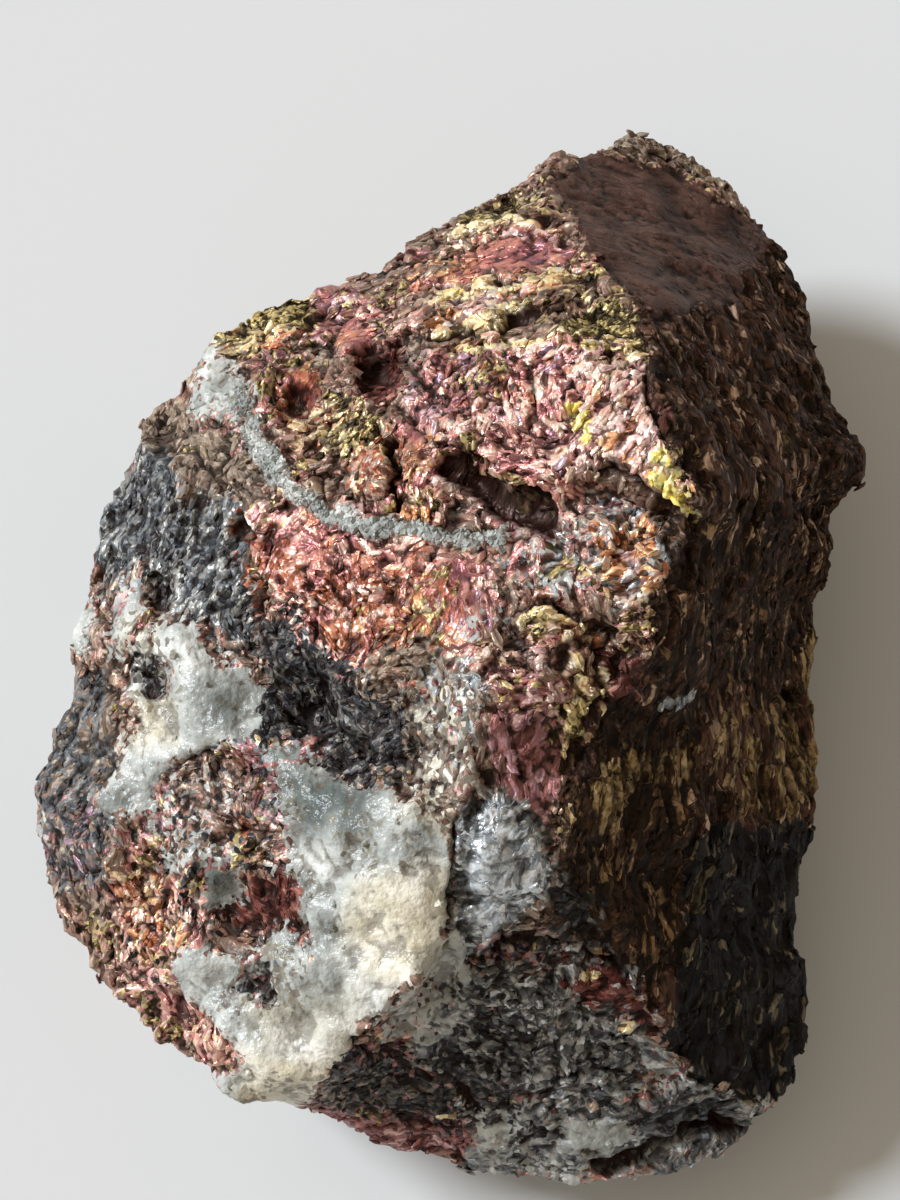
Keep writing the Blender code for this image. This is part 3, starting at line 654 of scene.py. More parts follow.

# Narrow veins, slits and shining edges: what shows there, half its width in pixels, how far it is cut into the
# stone in millimetres, and its line in the picture. The gap strokes are dark seams and painted shade in the
# slits, at steps and under overhanging ledges; the gleam strokes and the pale glint strokes are painted
# highlights.
VEIN = [(243, 400), (258, 435), (268, 462), (290, 485), (315, 505), (360, 525), (430, 533), (500, 542)]
STROKE_FIRMNESS = 1.6
strokes = [
    ("vein", 14, 0.0, VEIN),
    ("quartz", 13, -0.15, VEIN[:-1] + [(470, 540), VEIN[-1]]),
    ("glassy", 12, 0.0, VEIN),
    ("quartz", 7, -0.2, [(178, 630), (186, 645), (195, 665)]),
    ("quartz", 7, -0.1, [(166, 680), (172, 705), (168, 725)]),
    ("quartz", 8, -0.2, [(455, 935), (460, 965), (470, 975)]),
    ("gap", 6, 0.6, [(446, 442), (458, 450), (475, 459), (496, 471)]),
    ("gap", 14, 0.8, [(448, 466), (472, 482), (498, 500), (524, 509), (540, 513)]),
    ("gap", 18, 0.0, [(452, 468), (472, 482), (498, 500), (524, 512), (548, 524)]),
    ("gap", 9, 0.7, [(606, 471), (622, 470), (640, 484), (656, 500), (672, 516)]),
    ("gap", 6, 0.6, [(644, 368), (648, 390), (655, 412), (664, 430)]),
    ("gap", 4, 0.8, [(385, 440), (392, 470), (398, 508)]),
    ("gap", 4, 0.4, [(352, 352), (370, 346), (392, 344)]),
    ("gap", 4, 0.3, [(440, 290), (470, 281), (500, 279), (540, 275), (575, 266)]),
    ("gap", 4, 0.3, [(430, 336), (450, 334), (475, 328), (500, 320), (535, 312)]),
    ("gap", 6, 0.6, [(238, 522), (246, 550), (258, 590), (264, 622)]),
    ("gap", 3, 0.4, [(300, 560), (310, 590), (318, 640)]),
    ("gap", 3, 0.5, [(457, 812), (456, 850), (450, 890), (446, 932)]),
    ("gap", 4, 0.5, [(506, 622), (524, 608), (548, 604), (574, 613), (602, 640)]),
    ("gap", 4, 0.5, [(602, 642), (600, 668), (606, 700)]),
    ("gap", 7, 0.9, [(596, 1170), (640, 1160), (690, 1134), (730, 1128), (762, 1118)]),
    ("gap", 4, 0.4, [(418, 574), (425, 558), (434, 550)]),
    ("gap", 4, 0.3, [(395, 405), (415, 420), (425, 445)]),
    ("gap", 5, 0.5, [(500, 945), (540, 938), (580, 944), (620, 970)]),
    ("gap", 5, 0.4, [(345, 1040), (390, 1058), (440, 1078), (480, 1110)]),
    ("gap", 4, 0.3, [(560, 770), (575, 745), (592, 720), (600, 700)]),
    ("gap", 5, 0.5, [(690, 520), (692, 550), (676, 600), (668, 650)]),
    ("gap", 4, 0.3, [(215, 745), (190, 756), (165, 775)]),
    ("rust", 6, 0.1, [(600, 208), (640, 216), (690, 214)]),
    ("rust", 8, 0.15, [(636, 240), (680, 244), (730, 262)]),
    ("rust", 8, 0.15, [(662, 268), (700, 272), (742, 288)]),
    ("lemon", 7, -0.2, [(660, 482), (674, 498), (689, 514)]),
    ("lemon", 14, 0.0, [(574, 412), (582, 436)]),
    ("lemon", 8, 0.0, [(660, 462), (668, 472)]),
    ("gleam", 5, -0.1, [(612, 344), (622, 350), (634, 354)]),
    ("gleam", 4, -0.1, [(380, 444), (386, 456), (391, 468)]),
    ("gleam", 5, -0.05, [(458, 242), (470, 230), (500, 222), (530, 225)]),
    ("gleam", 7, -0.1, [(436, 302), (452, 292), (490, 290), (535, 284), (572, 272)]),
    ("gleam", 6, -0.05, [(222, 352), (245, 342), (270, 334), (292, 326)]),
    ("apricot", 9, -0.1, [(440, 318), (474, 306), (515, 296), (556, 282)]),
    ("gleam", 6, -0.05, [(446, 330), (480, 320), (520, 308)]),
    ("gleam", 5, -0.05, [(452, 350), (490, 344), (530, 340), (560, 338)]),
    ("pearl", 5, -0.05, [(576, 378), (600, 372), (620, 360)]),
    ("pearl", 6, -0.05, [(612, 452), (634, 436), (652, 420)]),
    ("apricot", 9, -0.05, [(606, 446), (640, 428)]),
    ("gleam", 4, 0.0, [(582, 660), (578, 700), (566, 740), (560, 770)]),
    ("gleam", 4, -0.1, [(604, 668), (602, 690), (607, 712)]),
    ("gleam", 4, 0.0, [(520, 622), (546, 612), (574, 618), (592, 632)]),
    ("gleam", 3, 0.0, [(242, 545), (250, 565), (262, 585)]),
    ("pearl", 7, -0.1, [(434, 476), (448, 488)]),
    ("pearl", 8, -0.15, [(484, 502), (495, 512)]),
    ("pearl", 6, -0.1, [(508, 512), (522, 524)]),
    ("pearl", 6, -0.1, [(344, 502), (356, 510)]),
    ("pearl", 5, -0.1, [(530, 532), (545, 545)]),
    ("pearl", 6, -0.05, [(606, 530), (620, 548), (632, 570)]),
    ("pearl", 5, -0.1, [(568, 356), (600, 350)]),
    ("pearl", 4, -0.1, [(600, 395), (622, 380), (640, 362)]),
    ("pearl", 4, -0.1, [(596, 430), (620, 412), (642, 396)]),
    ("pearl", 4, -0.1, [(500, 240), (530, 232), (560, 244)]),
    ("gleam", 4, -0.05, [(580, 968), (594, 974)]),
    ("gleam", 4, -0.05, [(620, 1030), (632, 1028)]),
    ("gleam", 4, -0.05, [(440, 1116), (456, 1114)]),
    ("gleam", 4, 0.0, [(182, 446), (189, 446)]),
    ("gleam", 4, 0.0, [(150, 952), (168, 958)]),
    # Painted bluish-white glints.
    ("frost", 9, 0.0, [(486, 900), (500, 912), (516, 906)]),
    ("frost", 6, 0.0, [(540, 868), (548, 878)]),
    ("frost", 4, -0.1, [(458, 1100), (464, 1102)]),
    ("frost", 6, 0.0, [(660, 552), (668, 562)]),
    ("frost", 8, -0.2, [(662, 708), (674, 700), (690, 692)]),
]
carved = np.zeros(count)
for mineral, half_width, cut, line in strokes:
    share = np.clip(STROKE_FIRMNESS * (1.0 - distance_to(line) / half_width), 0.0, 1.0)
    shares[mineral] = np.maximum(shares.get(mineral, 0.0), share)
    carved += cut * share

# Pits and knobs: their middle and radius in pixels, how far they are cut in in millimetres, and how dark
# their ground is painted: dark grains and painted shade in the hollow.
pits = [
    (375, 372, 20, 0.3, 0.35), (300, 396, 26, -0.35, 0.0), (288, 414, 8, 0.2, 0.5), (262, 362, 12, 0.4, 0.3),
    (149, 674, 18, -0.5, 0.5), (156, 689, 10, 0.3, 0.8), (143, 663, 8, 0.3, 0.8), (157, 580, 11, 0.4, 0.6),
    (156, 604, 9, 0.3, 0.6), (256, 974, 17, 0.25, 0.6), (267, 992, 14, 0.25, 0.7), (788, 702, 9, 0.9, 0.8),
    (622, 672, 24, -0.5, 0.2), (242, 826, 12, 0.3, 0.3), (350, 845, 12, 0.2, 0.2), (232, 990, 9, 0.2, 0.4),
    (214, 946, 10, 0.2, 0.4),
]
PIT_WANDER = 3.0
RIM_DARKNESS = 0.8
for x, y, radius, depth, dark in pits:
    away = (np.hypot(seen_wavy[:, 0] - x, seen_wavy[:, 1] - y) + wave[:, 2] * PIT_WANDER) / radius
    bowl = np.clip(1.3 * (1.0 - away ** 2), 0.0, 1.0)
    ground = np.clip(1.9 - 2.4 * away, 0.0, 1.0)
    rim = np.clip(3.0 - 2.0 * away, 0.0, 1.0)
    carved += depth * bowl
    shares["gap"] = np.maximum(shares["gap"], ground * dark)
    shares["quartz"] *= 1.0 - rim * dark * RIM_DARKNESS

# Relief of the broken faces. Bornite breaks into crystals of a few millimetres, each a pack of narrow flakes
# that run one way and lean against each other, and into low terraces. The weathered side is fibrous, and the
# quartz is lumpy and grainy. Each form has its size and its height in millimetres.
CRYSTAL_SIZE = 2.6
BLOCK_SIZE, BLOCK_HEIGHT = 3.4, 1.1
LUMP_SIZE, LUMP_HEIGHT = 2.0, 0.35
FLAKE_LENGTH, FLAKE_WIDTH, FLAKE_HEIGHT = 1.7, 0.55, 0.32
CHIP_SIZE, CHIP_HEIGHT = 0.75, 0.10
WORM_SIZE, WORM_HEIGHT = 1.3, 0.24
WORM_LOW, WORM_HIGH = 0.35, 1.1
CRACK_DEPTH = 0.3
CRACK_NARROWNESS, CRACKED_SHARE = 2.2, 0.45
FLAKE_BORDER = 0.16
TERRACE_SIZE, TERRACE_STEPS, TERRACE_HEIGHT = 4.2, 7.0, 0.2
RISER = 0.22
TERRACE_LEVEL = 0.8
FIBRE_STRETCH, WORM_STRETCH = (0.16, 1.0, 1.0), (0.4, 1.0, 1.0)
FIBRE_SIZE, FIBRE_HEIGHT = 0.8, 0.16
STRAND_SIZE, STRAND_HEIGHT = 2.2, 0.36
SPLINTER_HEIGHT = 0.25
SWELL_SIZE, SWELL_HEIGHT = 2.6, 0.3
GRAIN_SIZE, GRAIN_HEIGHT = 0.9, 0.04
QUARTZ_GRAIN_HEIGHT, PLATE_GRAIN_HEIGHT = 0.05, 0.08
CARVED_WANDER = 0.4

# Where the flakes run one way in all crystals: an outline, and their direction in degrees, anticlockwise from
# the picture's right
runs = [
    ([(585, 235), (640, 318), (650, 400), (692, 478), (697, 520), (662, 540), (658, 655), (570, 772),
      (560, 880), (640, 985), (690, 1080), (800, 1110), (920, 1100), (920, 180), (760, 225), (700, 310)], -79.0),
    ([(545, 180), (600, 150), (650, 150), (700, 183), (765, 232), (745, 270), (742, 300), (705, 308),
      (655, 318), (632, 298), (575, 215)], -4.0),
    ([(380, 260), (450, 210), (560, 180), (600, 260), (560, 320), (430, 350), (380, 310)], 14.0),
    ([(200, 320), (300, 285), (430, 230), (440, 330), (300, 350), (215, 360)], 20.0),
    ([(90, 480), (180, 440), (240, 500), (240, 600), (140, 640), (90, 600)], 80.0),
    ([(30, 800), (110, 650), (130, 760), (60, 880)], 62.0),
    ([(105, 870), (190, 870), (190, 960), (120, 970)], 82.0),
    ([(410, 555), (495, 560), (500, 640), (410, 640)], 86.0),
    ([(310, 1040), (500, 1040), (520, 1170), (310, 1160)], 8.0),
    ([(560, 360), (640, 350), (690, 480), (640, 470), (570, 450)], 55.0),
]


# Random values are read from unit cells, by multiples of a middle's place that put no two middles in one cell
SHARE_CELLS, LEAN_CELLS, TINT_CELLS = 13.7, 7.3, 11.9
RUN_SPREAD = 0.3
UMBER_STRETCH = 0.6
APART = 0.37


def crystal_of(place):
    """Gives the middle of the crystal that a place is in, and a random share of it."""
    centre = noise.voronoi(place)[1][0]
    return [*centre, noise.cell(centre * SHARE_CELLS)]


crystals = for_each(points / CRYSTAL_SIZE, crystal_of)
middles = crystals[:, :3] * CRYSTAL_SIZE
turn = crystals[:, 3] * math.tau
for outline, degrees in runs:
    ours = depth_inside(outline) > 0.0
    turn[ours] = math.radians(degrees) + (crystals[ours, 3] - 0.5) * RUN_SPREAD
    middles[ours] = 0.0
from_middle = points - middles
across = from_middle[:, 0]
up = from_middle @ SIGHT_UP
lengthwise = across * np.cos(turn) + up * np.sin(turn)
crosswise = up * np.cos(turn) - across * np.sin(turn)
lengthwise = lengthwise * (1.0 - UMBER_STRETCH * (shares["umber"] > 0.5))
cleavage = np.column_stack([lengthwise, crosswise, from_middle @ TO_EYE]) + middles * APART


def flake_of(place):
    """Gives a flake's height at a place, three random values of the flake, and how far in from its border."""
    gaps, centres = noise.voronoi(place)
    lean = noise.cell_vector(centres[0] * LEAN_CELLS) - Vector((0.5, 0.5, 0.5))
    inside = min(1.0, (gaps[1] - gaps[0]) / FLAKE_BORDER)
    return [(place - centres[0]).dot(lean) * inside, *noise.cell_vector(centres[0] * TINT_CELLS), inside]


def grains(places, size, layers=3):
    """Gives the relief of a grainy face, about -1 to 1."""
    return for_each(places / size, lambda place: noise.fractal(place, 0.9, 2.1, layers))


def terraced(height):
    """Turns smooth heights into level steps with steep risers."""
    step = np.floor(height)
    return step + np.clip((height - step - 1.0 + RISER) / RISER, 0.0, 1.0)


def ridged(places, size):
    """Gives winding ridges, 0 in the furrows to 1 on the crests."""
    heights = for_each(places / size, lambda place: noise.ridged_multi_fractal(place, 1.0, 2.0, 3, 0.9, 2.0))
    return np.clip((heights - WORM_LOW) / (WORM_HIGH - WORM_LOW), 0.0, 1.0)


blocks = for_each(points / BLOCK_SIZE, flake_of)
lumps = for_each(points / LUMP_SIZE, flake_of)
flakes = for_each(cleavage / (FLAKE_LENGTH, FLAKE_WIDTH, FLAKE_WIDTH), flake_of)
chips = for_each(points / CHIP_SIZE, flake_of)
quartz = shares["quartz"]
plate = shares["plate"]
sheet_share = shares["sheet"]
grey = shares["sulphide"]
umber = shares["umber"] * (1.0 - plate)

# Hackly ground is what is left when each of these has taken its part
hackly = np.ones(count)
for ground, part in ((quartz, 0.85), (umber, 0.9), (sheet_share, 0.8), (grey, 0.3), (shares["level"], 0.6)):
    hackly -= part * ground
hackly = np.clip(hackly, 0.0, 1.0)

crest = ridged(cleavage * WORM_STRETCH + wave * 0.5, WORM_SIZE)
terraces = grains(points, TERRACE_SIZE) * TERRACE_STEPS
fibre_places = cleavage * FIBRE_STRETCH
fibres = (grains(fibre_places, FIBRE_SIZE) * FIBRE_HEIGHT + grains(fibre_places, STRAND_SIZE) * STRAND_HEIGHT
          + flakes[:, 0] * SPLINTER_HEIGHT)
quartz_lumps = (grains(points, SWELL_SIZE) * SWELL_HEIGHT + lumps[:, 0] * LUMP_HEIGHT
                + grains(points, GRAIN_SIZE, 2) * QUARTZ_GRAIN_HEIGHT)
relief = blocks[:, 0] * BLOCK_HEIGHT * np.clip(hackly + 0.4 * grey, 0.2, 1.0) * (1.0 - 0.7 * sheet_share)
relief += flakes[:, 0] * FLAKE_HEIGHT * hackly
relief += (crest - 0.5) * WORM_HEIGHT * np.clip(hackly + grey * 0.4 + umber * 0.8, 0.0, 1.0)
relief += chips[:, 0] * CHIP_HEIGHT * np.clip(hackly * 0.6 + grey * 0.6, 0.0, 1.0)
relief += ((terraced(terraces) - terraces * TERRACE_LEVEL) * TERRACE_HEIGHT
           * np.clip(hackly - 0.3 * grey, 0.0, 1.0))
relief += fibres * umber
relief += quartz_lumps * quartz
relief += grains(points, GRAIN_SIZE) * GRAIN_HEIGHT * (1.0 - plate) * (1.0 - quartz)
relief += grains(fibre_places, GRAIN_SIZE) * PLATE_GRAIN_HEIGHT * plate
# Cracks between the blocks are cut in and darkened: dark seams with painted shade in them.
crack = np.clip(1.0 - CRACK_NARROWNESS * blocks[:, 4], 0.0, 1.0) * (blocks[:, 1] < CRACKED_SHARE) * hackly
relief -= crack * CRACK_DEPTH
shares["gap"] = np.maximum(shares["gap"], crack * 0.6)
relief -= carved * (1.0 + CARVED_WANDER * wave[:, 2]) * facing

# The relief fades out towards the table, so that the stone still lies on its flat
ROUGH_ABOVE = 1.5
TABLE_GAP = 0.05
fade = np.clip(points[:, 2] / ROUGH_ABOVE, 0.0, 1.0)
points = points + normals * (relief * fade)[:, None]
points[:, 2] = np.maximum(points[:, 2], TABLE_GAP * ~on_flat)
normals = normals_of(points)


def depth_below(rounds):
    """Gives how far each point lies below the skin when that is evened out."""
    return ((relaxed(points, rounds, EVENING) - points) * normals).sum(axis=1)


# Hollows, narrow ones and wide ones, each with the depth in millimetres at which it counts in full. The finish
# paints shade into the hollows of the ore and dirt stains into those of the quartz.
EVENING = 0.6
NARROW_ROUNDS, NARROW_DEPTH = 4, 0.05
WIDE_ROUNDS, WIDE_DEPTH = 24, 0.35
hollow_depth = depth_below(NARROW_ROUNDS) / NARROW_DEPTH + depth_below(WIDE_ROUNDS) / WIDE_DEPTH
shares["hollow"] = np.clip(hollow_depth, -1.0, 1.0) * 0.5 + 0.5
shares["crest"] = crest
shares["crystal"] = crystals[:, 3]

# What the mesh carries to the finish: the shares by threes, and the places that streaks and clouds follow
CLOUD_SIZE, CLOUD_STRENGTH = 1.8, 0.3
billows = for_each(points / CLOUD_SIZE, lambda place: noise.turbulence_vector(place, 4, False))
share_names = list(shares)
padded = np.zeros((count, 3 * math.ceil(len(share_names) / 3)))
for i, name in enumerate(share_names):
    padded[:, i] = shares[name]
carried = {
    "cleavage": cleavage,
    "wave": wave,
    "clouds": 0.5 + billows * CLOUD_STRENGTH,
    "flake": flakes[:, 1:4],
}
for first in range(0, len(share_names), 3):
    carried[share_names[first]] = padded[:, first:first + 3]


def carry(mesh, name, values):
    """Stores three values for each vertex of a mesh."""
    data = mesh.attributes.new(name, "FLOAT_VECTOR", "POINT").data
    data.foreach_set("vector", values.astype(np.float32).ravel())


SHARP_ANGLE = math.radians(30.0)
skin.vertices.foreach_set("co", (points * MM).ravel())
skin.update()
for name, values in carried.items():
    carry(skin, name, values)
skin.shade_smooth()
skin.set_sharp_from_angle(angle=SHARP_ANGLE)
stone = bpy.data.objects.new("stone", skin)
scene.collection.objects.link(stone)

# The finish of the stone: each streak or crumb shows one mineral or tarnish, with painted highlights on the
# crests and painted shade in the furrows, and faces its own way.
ore = bpy.data.materials.new("bornite ore")
ore.use_nodes = True
tree = ore.node_tree
tree.nodes.clear()
FURROW_SHADE, HOLLOW_SHADE, GAP_SHADE = (0.02, 0.012, 0.008, 1.0), (0.012, 0.008, 0.006, 1.0), (0.026, 0.010, 0.007, 1.0)
HALF = (0.5, 0.5, 0.5)
CRISPNESS = 7.0


def vector_sum(operation, *terms):
    """Adds a Vector Math node."""
    return add_node(tree, "ShaderNodeVectorMath", {"operation": operation}, dict(enumerate(terms)))


def parts(colour):
    """Parts a colour into three values."""
    return [add_node(tree, "ShaderNodeSeparateColor", {}, {0: colour}, i) for i in range(3)]


def cells(places, scale):
    """Gives a random colour for each cell of a net of irregular cells."""
    return add_node(tree, "ShaderNodeTexVoronoi", {}, {"Vector": places, "Scale": scale}, "Color")


def cloud(places, scale, detail):
    """Gives soft noise."""
    return add_node(tree, "ShaderNodeTexNoise", {}, {"Vector": places, "Scale": scale, "Detail": detail}, "Fac")


def mix(share, first, second):
    """Mixes two colours."""
    return add_node(tree, "ShaderNodeMix", {"data_type": "RGBA"}, {0: share, 6: first, 7: second}, 2)


def ramp(value, *colours):
    """Gives a colour from an even row of screen colours, for a value from 0 to 1."""
    stops = [(i / (len(colours) - 1), rgb(*colour)) for i, colour in enumerate(colours)]
    return add_node(tree, "ShaderNodeValToRGB", {"stops": stops}, {0: value})


def carried_by_mesh(name):
    """Reads three values that the mesh carries."""
    return add_node(tree, "ShaderNodeAttribute", {"attribute_name": name}, {}, "Vector")


def mask(name):
    """Reads a share that the mesh carries. The shares are stored by threes, under the name of the first."""
    index = share_names.index(name)
    return parts(carried_by_mesh(share_names[index - index % 3]))[index % 3]


def shown_where(mineral, pick):
    """Gives 1 in the cells where the share of a mineral is more than their pick."""
    lead = mask(mineral) * 1.2 - 0.1 - pick
    return (lead * CRISPNESS + 0.5).clamped()


# Where a point lies: in the stone, in millimetres, and along its crystal's flakes, both a little wavy
SWIRL = (0.3, 0.3, 0.3)
STREAK_STRETCH = (0.3, 1.0, 1.0)
STREAK_SCALE, CRUMB_SCALE = 2.4, 3.4
place = vector_sum("MULTIPLY", add_node(tree, "ShaderNodeTexCoord", {}, {}, "Object"), (1 / MM, 1 / MM, 1 / MM))
along = carried_by_mesh("cleavage")
wave_here = carried_by_mesh("wave")
swirled = vector_sum("MULTIPLY_ADD", wave_here, SWIRL, place)
streaked = vector_sum("MULTIPLY", vector_sum("MULTIPLY_ADD", wave_here, SWIRL, along), STREAK_STRETCH)
streak_colour = cells(streaked, STREAK_SCALE)
crumb_colour = cells(swirled, CRUMB_SCALE)
streak = parts(streak_colour)
crumb = parts(crumb_colour)
band = parts(carried_by_mesh("flake"))
clouds = parts(carried_by_mesh("clouds"))
crystal = mask("crystal")
hollow = mask("hollow")
sheet = mask("sheet")
worm = add_node(tree, "ShaderNodeTexNoise", {"noise_type": "RIDGED_MULTIFRACTAL"},
                {"Vector": streaked, "Scale": 1.7, "Detail": 2.0, "Offset": 0.9, "Gain": 2.0})
worm = (worm * 1.3 - 0.45).clamped()
shade = (worm * 0.6 + mask("crest") * 0.6 - 0.06).clamped()

# Each finish: the mineral, the random values by which cells show it, its shade, its colours by shade, how
# metallic and how rough it is. A later one lies over those before it.
finishes = [
    ("rose", band[0] * 0.5 + crystal * 0.5, shade * 0.55 + streak[1] * 0.45,
     [(84, 40, 42), (158, 94, 94), (216, 148, 144), (246, 186, 172), (255, 220, 200),
      (255, 240, 224)], 0.4, 0.34),
    ("plum", band[1] * 0.5 + crystal * 0.5, shade * 0.6 + streak[2] * 0.4,
     [(66, 32, 32), (136, 82, 80), (190, 130, 124), (156, 116, 126), (246, 206, 196)], 0.3, 0.4),
    ("gold", band[2] * 0.4 + streak[2] * 0.6, shade * 0.6 + crumb[1] * 0.4,
     [(112, 58, 42), (222, 142, 108), (255, 196, 158), (255, 224, 182), (255, 238, 190),
      (255, 250, 236)], 0.4, 0.34),
    ("olive", crumb[0] * 0.5 + crystal * 0.5, shade * 0.5 + crumb[1] * 0.5,
     [(18, 14, 9), (50, 41, 25), (90, 76, 43), (236, 212, 148), (90, 82, 68)], 0.4, 0.42),
    ("rust", crumb[1], shade * 0.4 + streak[1] * 0.6,
     [(56, 24, 18), (118, 62, 46), (176, 106, 80), (214, 148, 116)], 0.3, 0.45),
    ("dust", band[0] * 0.4 + crumb[2] * 0.6, shade * 0.5 + crumb[0] * 0.5,
     [(70, 52, 42), (128, 108, 92), (168, 154, 138), (120, 92, 76), (206, 192, 172)], 0.0, 0.7),
    ("blush", streak[1] * 0.5 + crumb[2] * 0.4, shade * 0.35 + clouds[1] * 0.65,
     [(112, 62, 70), (166, 104, 108), (206, 136, 128), (230, 160, 128), (250, 206, 170)], 0.4, 0.32),
    ("umber", crumb[0], shade * 0.5 + streak[0] * 0.5,
     [(10, 7, 5), (50, 33, 26), (130, 94, 74), (64, 42, 38), (250, 214, 184)], 0.0, 0.7),
    ("peat", crumb[2], shade * 0.5 + streak[0] * 0.5,
     [(7, 5, 4), (28, 19, 14), (84, 61, 42), (24, 16, 12), (186, 148, 104)], 0.0, 0.7),
    ("ochre", band[1] * 0.4 + streak[2] * 0.6, shade * 0.5 + crumb[1] * 0.5,
     [(30, 21, 12), (126, 98, 60), (188, 160, 110), (222, 200, 158)], 0.0, 0.7),
    ("plate", crumb[1], shade * 0.3 + streak[2] * 0.3 + clouds[1] * 0.4,
     [(48, 26, 21), (80, 54, 45), (104, 76, 66), (76, 50, 40)], 0.1, 0.5),
    ("sulphide", band[2] * 0.4 + crumb[0] * 0.6, crumb[1] * 0.5 + shade * 0.5,
     [(38, 39, 42), (88, 91, 96), (136, 140, 142), (166, 164, 157), (214, 216, 216)], 0.35, 0.42),
    ("slate", band[2] * 0.4 + crumb[0] * 0.6, shade * 0.5 + crumb[1] * 0.5,
     [(22, 23, 26), (62, 66, 72), (106, 109, 112), (156, 150, 140)], 0.2, 0.45),
    ("charcoal", crumb[0], shade * 0.5 + streak[1] * 0.5,
     [(3, 3, 3), (16, 17, 19), (58, 60, 62), (16, 15, 14), (158, 146, 120)], 0.1, 0.6),
    ("soot", crumb[1], shade * 0.4 + crumb[2] * 0.6,
     [(12, 12, 13), (40, 40, 44), (86, 86, 88), (150, 144, 134)], 0.3, 0.45),
    ("wine", streak[1] * 0.6 + crumb[2] * 0.4, shade * 0.5 + streak[2] * 0.5,
     [(30, 10, 9), (66, 30, 27), (96, 52, 46), (122, 70, 62), (196, 140, 124)], 0.2, 0.45),
    ("lilac", band[0] * 0.5 + streak[1] * 0.5, shade * 0.6 + streak[2] * 0.4,
     [(84, 58, 70), (150, 112, 128), (198, 160, 178), (240, 214, 226)], 0.4, 0.34),
    ("apricot", band[1] * 0.5 + streak[0] * 0.5, shade * 0.6 + streak[2] * 0.4,
     [(120, 58, 36), (216, 132, 88), (252, 190, 140), (255, 226, 186)], 0.4, 0.34),
    # Painted highlights: pinkish-white and pale gold glints.
    ("pearl", streak[1] * 0.5 + crumb[2] * 0.5, shade * 0.5 + crumb[1] * 0.5,
     [(206, 140, 142), (248, 206, 198), (255, 240, 226)], 0.3, 0.3),
    ("gleam", streak[2] * 0.5 + crumb[2] * 0.3, shade * 0.5 + crumb[1] * 0.5,
     [(230, 168, 120), (255, 218, 168), (255, 234, 178), (255, 248, 230)], 0.3, 0.3),
    ("lemon", streak[0] * 0.5 + crumb[2] * 0.4, shade * 0.5 + crumb[1] * 0.5,
     [(238, 184, 84), (255, 226, 104), (255, 238, 146), (255, 250, 226)], 0.1, 0.3),
    # Painted highlights and reflections: bluish-white glints, with some pale flecks.
    ("frost", crumb[2] * 0.6 + streak[1] * 0.4, crumb[1],
     [(120, 128, 134), (206, 214, 220), (250, 252, 254)], 0.3, 0.25),
]
colour = ramp(shade * 0.6 + streak[2] * 0.4, (44, 26, 22), (114, 80, 68), (178, 138, 120), (136, 122, 112),
              (222, 190, 162))
COMMON_METALLIC, COMMON_ROUGHNESS = 0.35, 0.42
gloss = (COMMON_METALLIC, COMMON_ROUGHNESS, 0.0, 1.0)
smooth_shade = (clouds[1] * 2.0 - 0.5).clamped()
for mineral, pick, tone, tones, metal, rough in finishes:
    shown = shown_where(mineral, pick)
    evened = add_node(tree, "ShaderNodeMix", {}, {0: sheet * 0.7, 2: tone, 3: smooth_shade})
    colour = mix(shown, colour, ramp(evened, *tones))
    gloss = mix(shown, gloss, (metal, rough, 0.0, 1.0))
metallic, roughness, _ = parts(gloss)

# The weathered side has darker clouds, and furrows, hollows and slits get painted brown-black shade
DEEP_TINT = (0.25, 0.23, 0.21)
deep = (clouds[0] * 3.2 - 1.0).clamped() * mask("umber") * (1 - sheet)
furrow_shade = (0.8 - worm * 3.0).clamped() * (1 - sheet * 0.8)
hollow_shade_and_dirt = (hollow * 2.4 - 1.25).clamped()
colour = mix(deep * 0.75, colour, vector_sum("MULTIPLY", colour, DEEP_TINT))
colour = mix(furrow_shade * 0.8, colour, FURROW_SHADE)
colour = mix(hollow_shade_and_dirt * 0.8, colour, HOLLOW_SHADE)
colour = mix(mask("gap") * 0.93, colour, GAP_SHADE)

ORE_LEAN, ORE_BUMP = 0.4, 0.00009
bumped = add_node(tree, "ShaderNodeBump", {},
                  {"Height": worm + cloud(along, 6.0, 0.0) * 0.5, "Distance": ORE_BUMP, "Strength": 0.8})
lean = vector_sum("SUBTRACT", streak_colour, HALF)
leaning = vector_sum("NORMALIZE", vector_sum("MULTIPLY_ADD", lean, (1 - sheet * 0.8) * ORE_LEAN, bumped))
ore_shader = add_node(tree, "ShaderNodeBsdfPrincipled", {},
                      {"Base Color": colour, "Metallic": metallic, "Roughness": roughness, "Normal": leaning,
                       "Specular IOR Level": 0.15})

# Quartz: milky, creamy in places, glassy in others, with grit and stains in it
STAIN, QUARTZ_GAP_SHADE = (0.12, 0.10, 0.075, 1.0), (0.012, 0.01, 0.01, 1.0)
QUARTZ_LEAN, QUARTZ_BUMP = (0.1, 0.1, 0.1), 0.0003
milk = clouds[0] * 1.6 + crumb[1] * 0.12 + streak[1] * 0.12 - 0.42
milky = ramp(milk, (104, 106, 102), (156, 160, 156), (184, 188, 184), (206, 208, 202), (242, 243, 240))
creamy = ramp(milk, (150, 138, 110), (216, 208, 184), (240, 234, 216), (250, 247, 238))
glassy = ramp(milk, (62, 70, 68), (98, 106, 103), (144, 150, 148))
gritty = ramp(crumb[0], (40, 36, 32), (120, 104, 82), (150, 148, 120))
quartz_colour = mix(mask("cream"), milky, creamy)
quartz_colour = mix(mask("glassy") * (1 - mask("vein") * 0.85), quartz_colour, glassy)
quartz_colour = mix(shown_where("grit", crumb[2]) * 0.75, quartz_colour, gritty)
quartz_colour = mix(hollow_shade_and_dirt * 0.6, quartz_colour, STAIN)
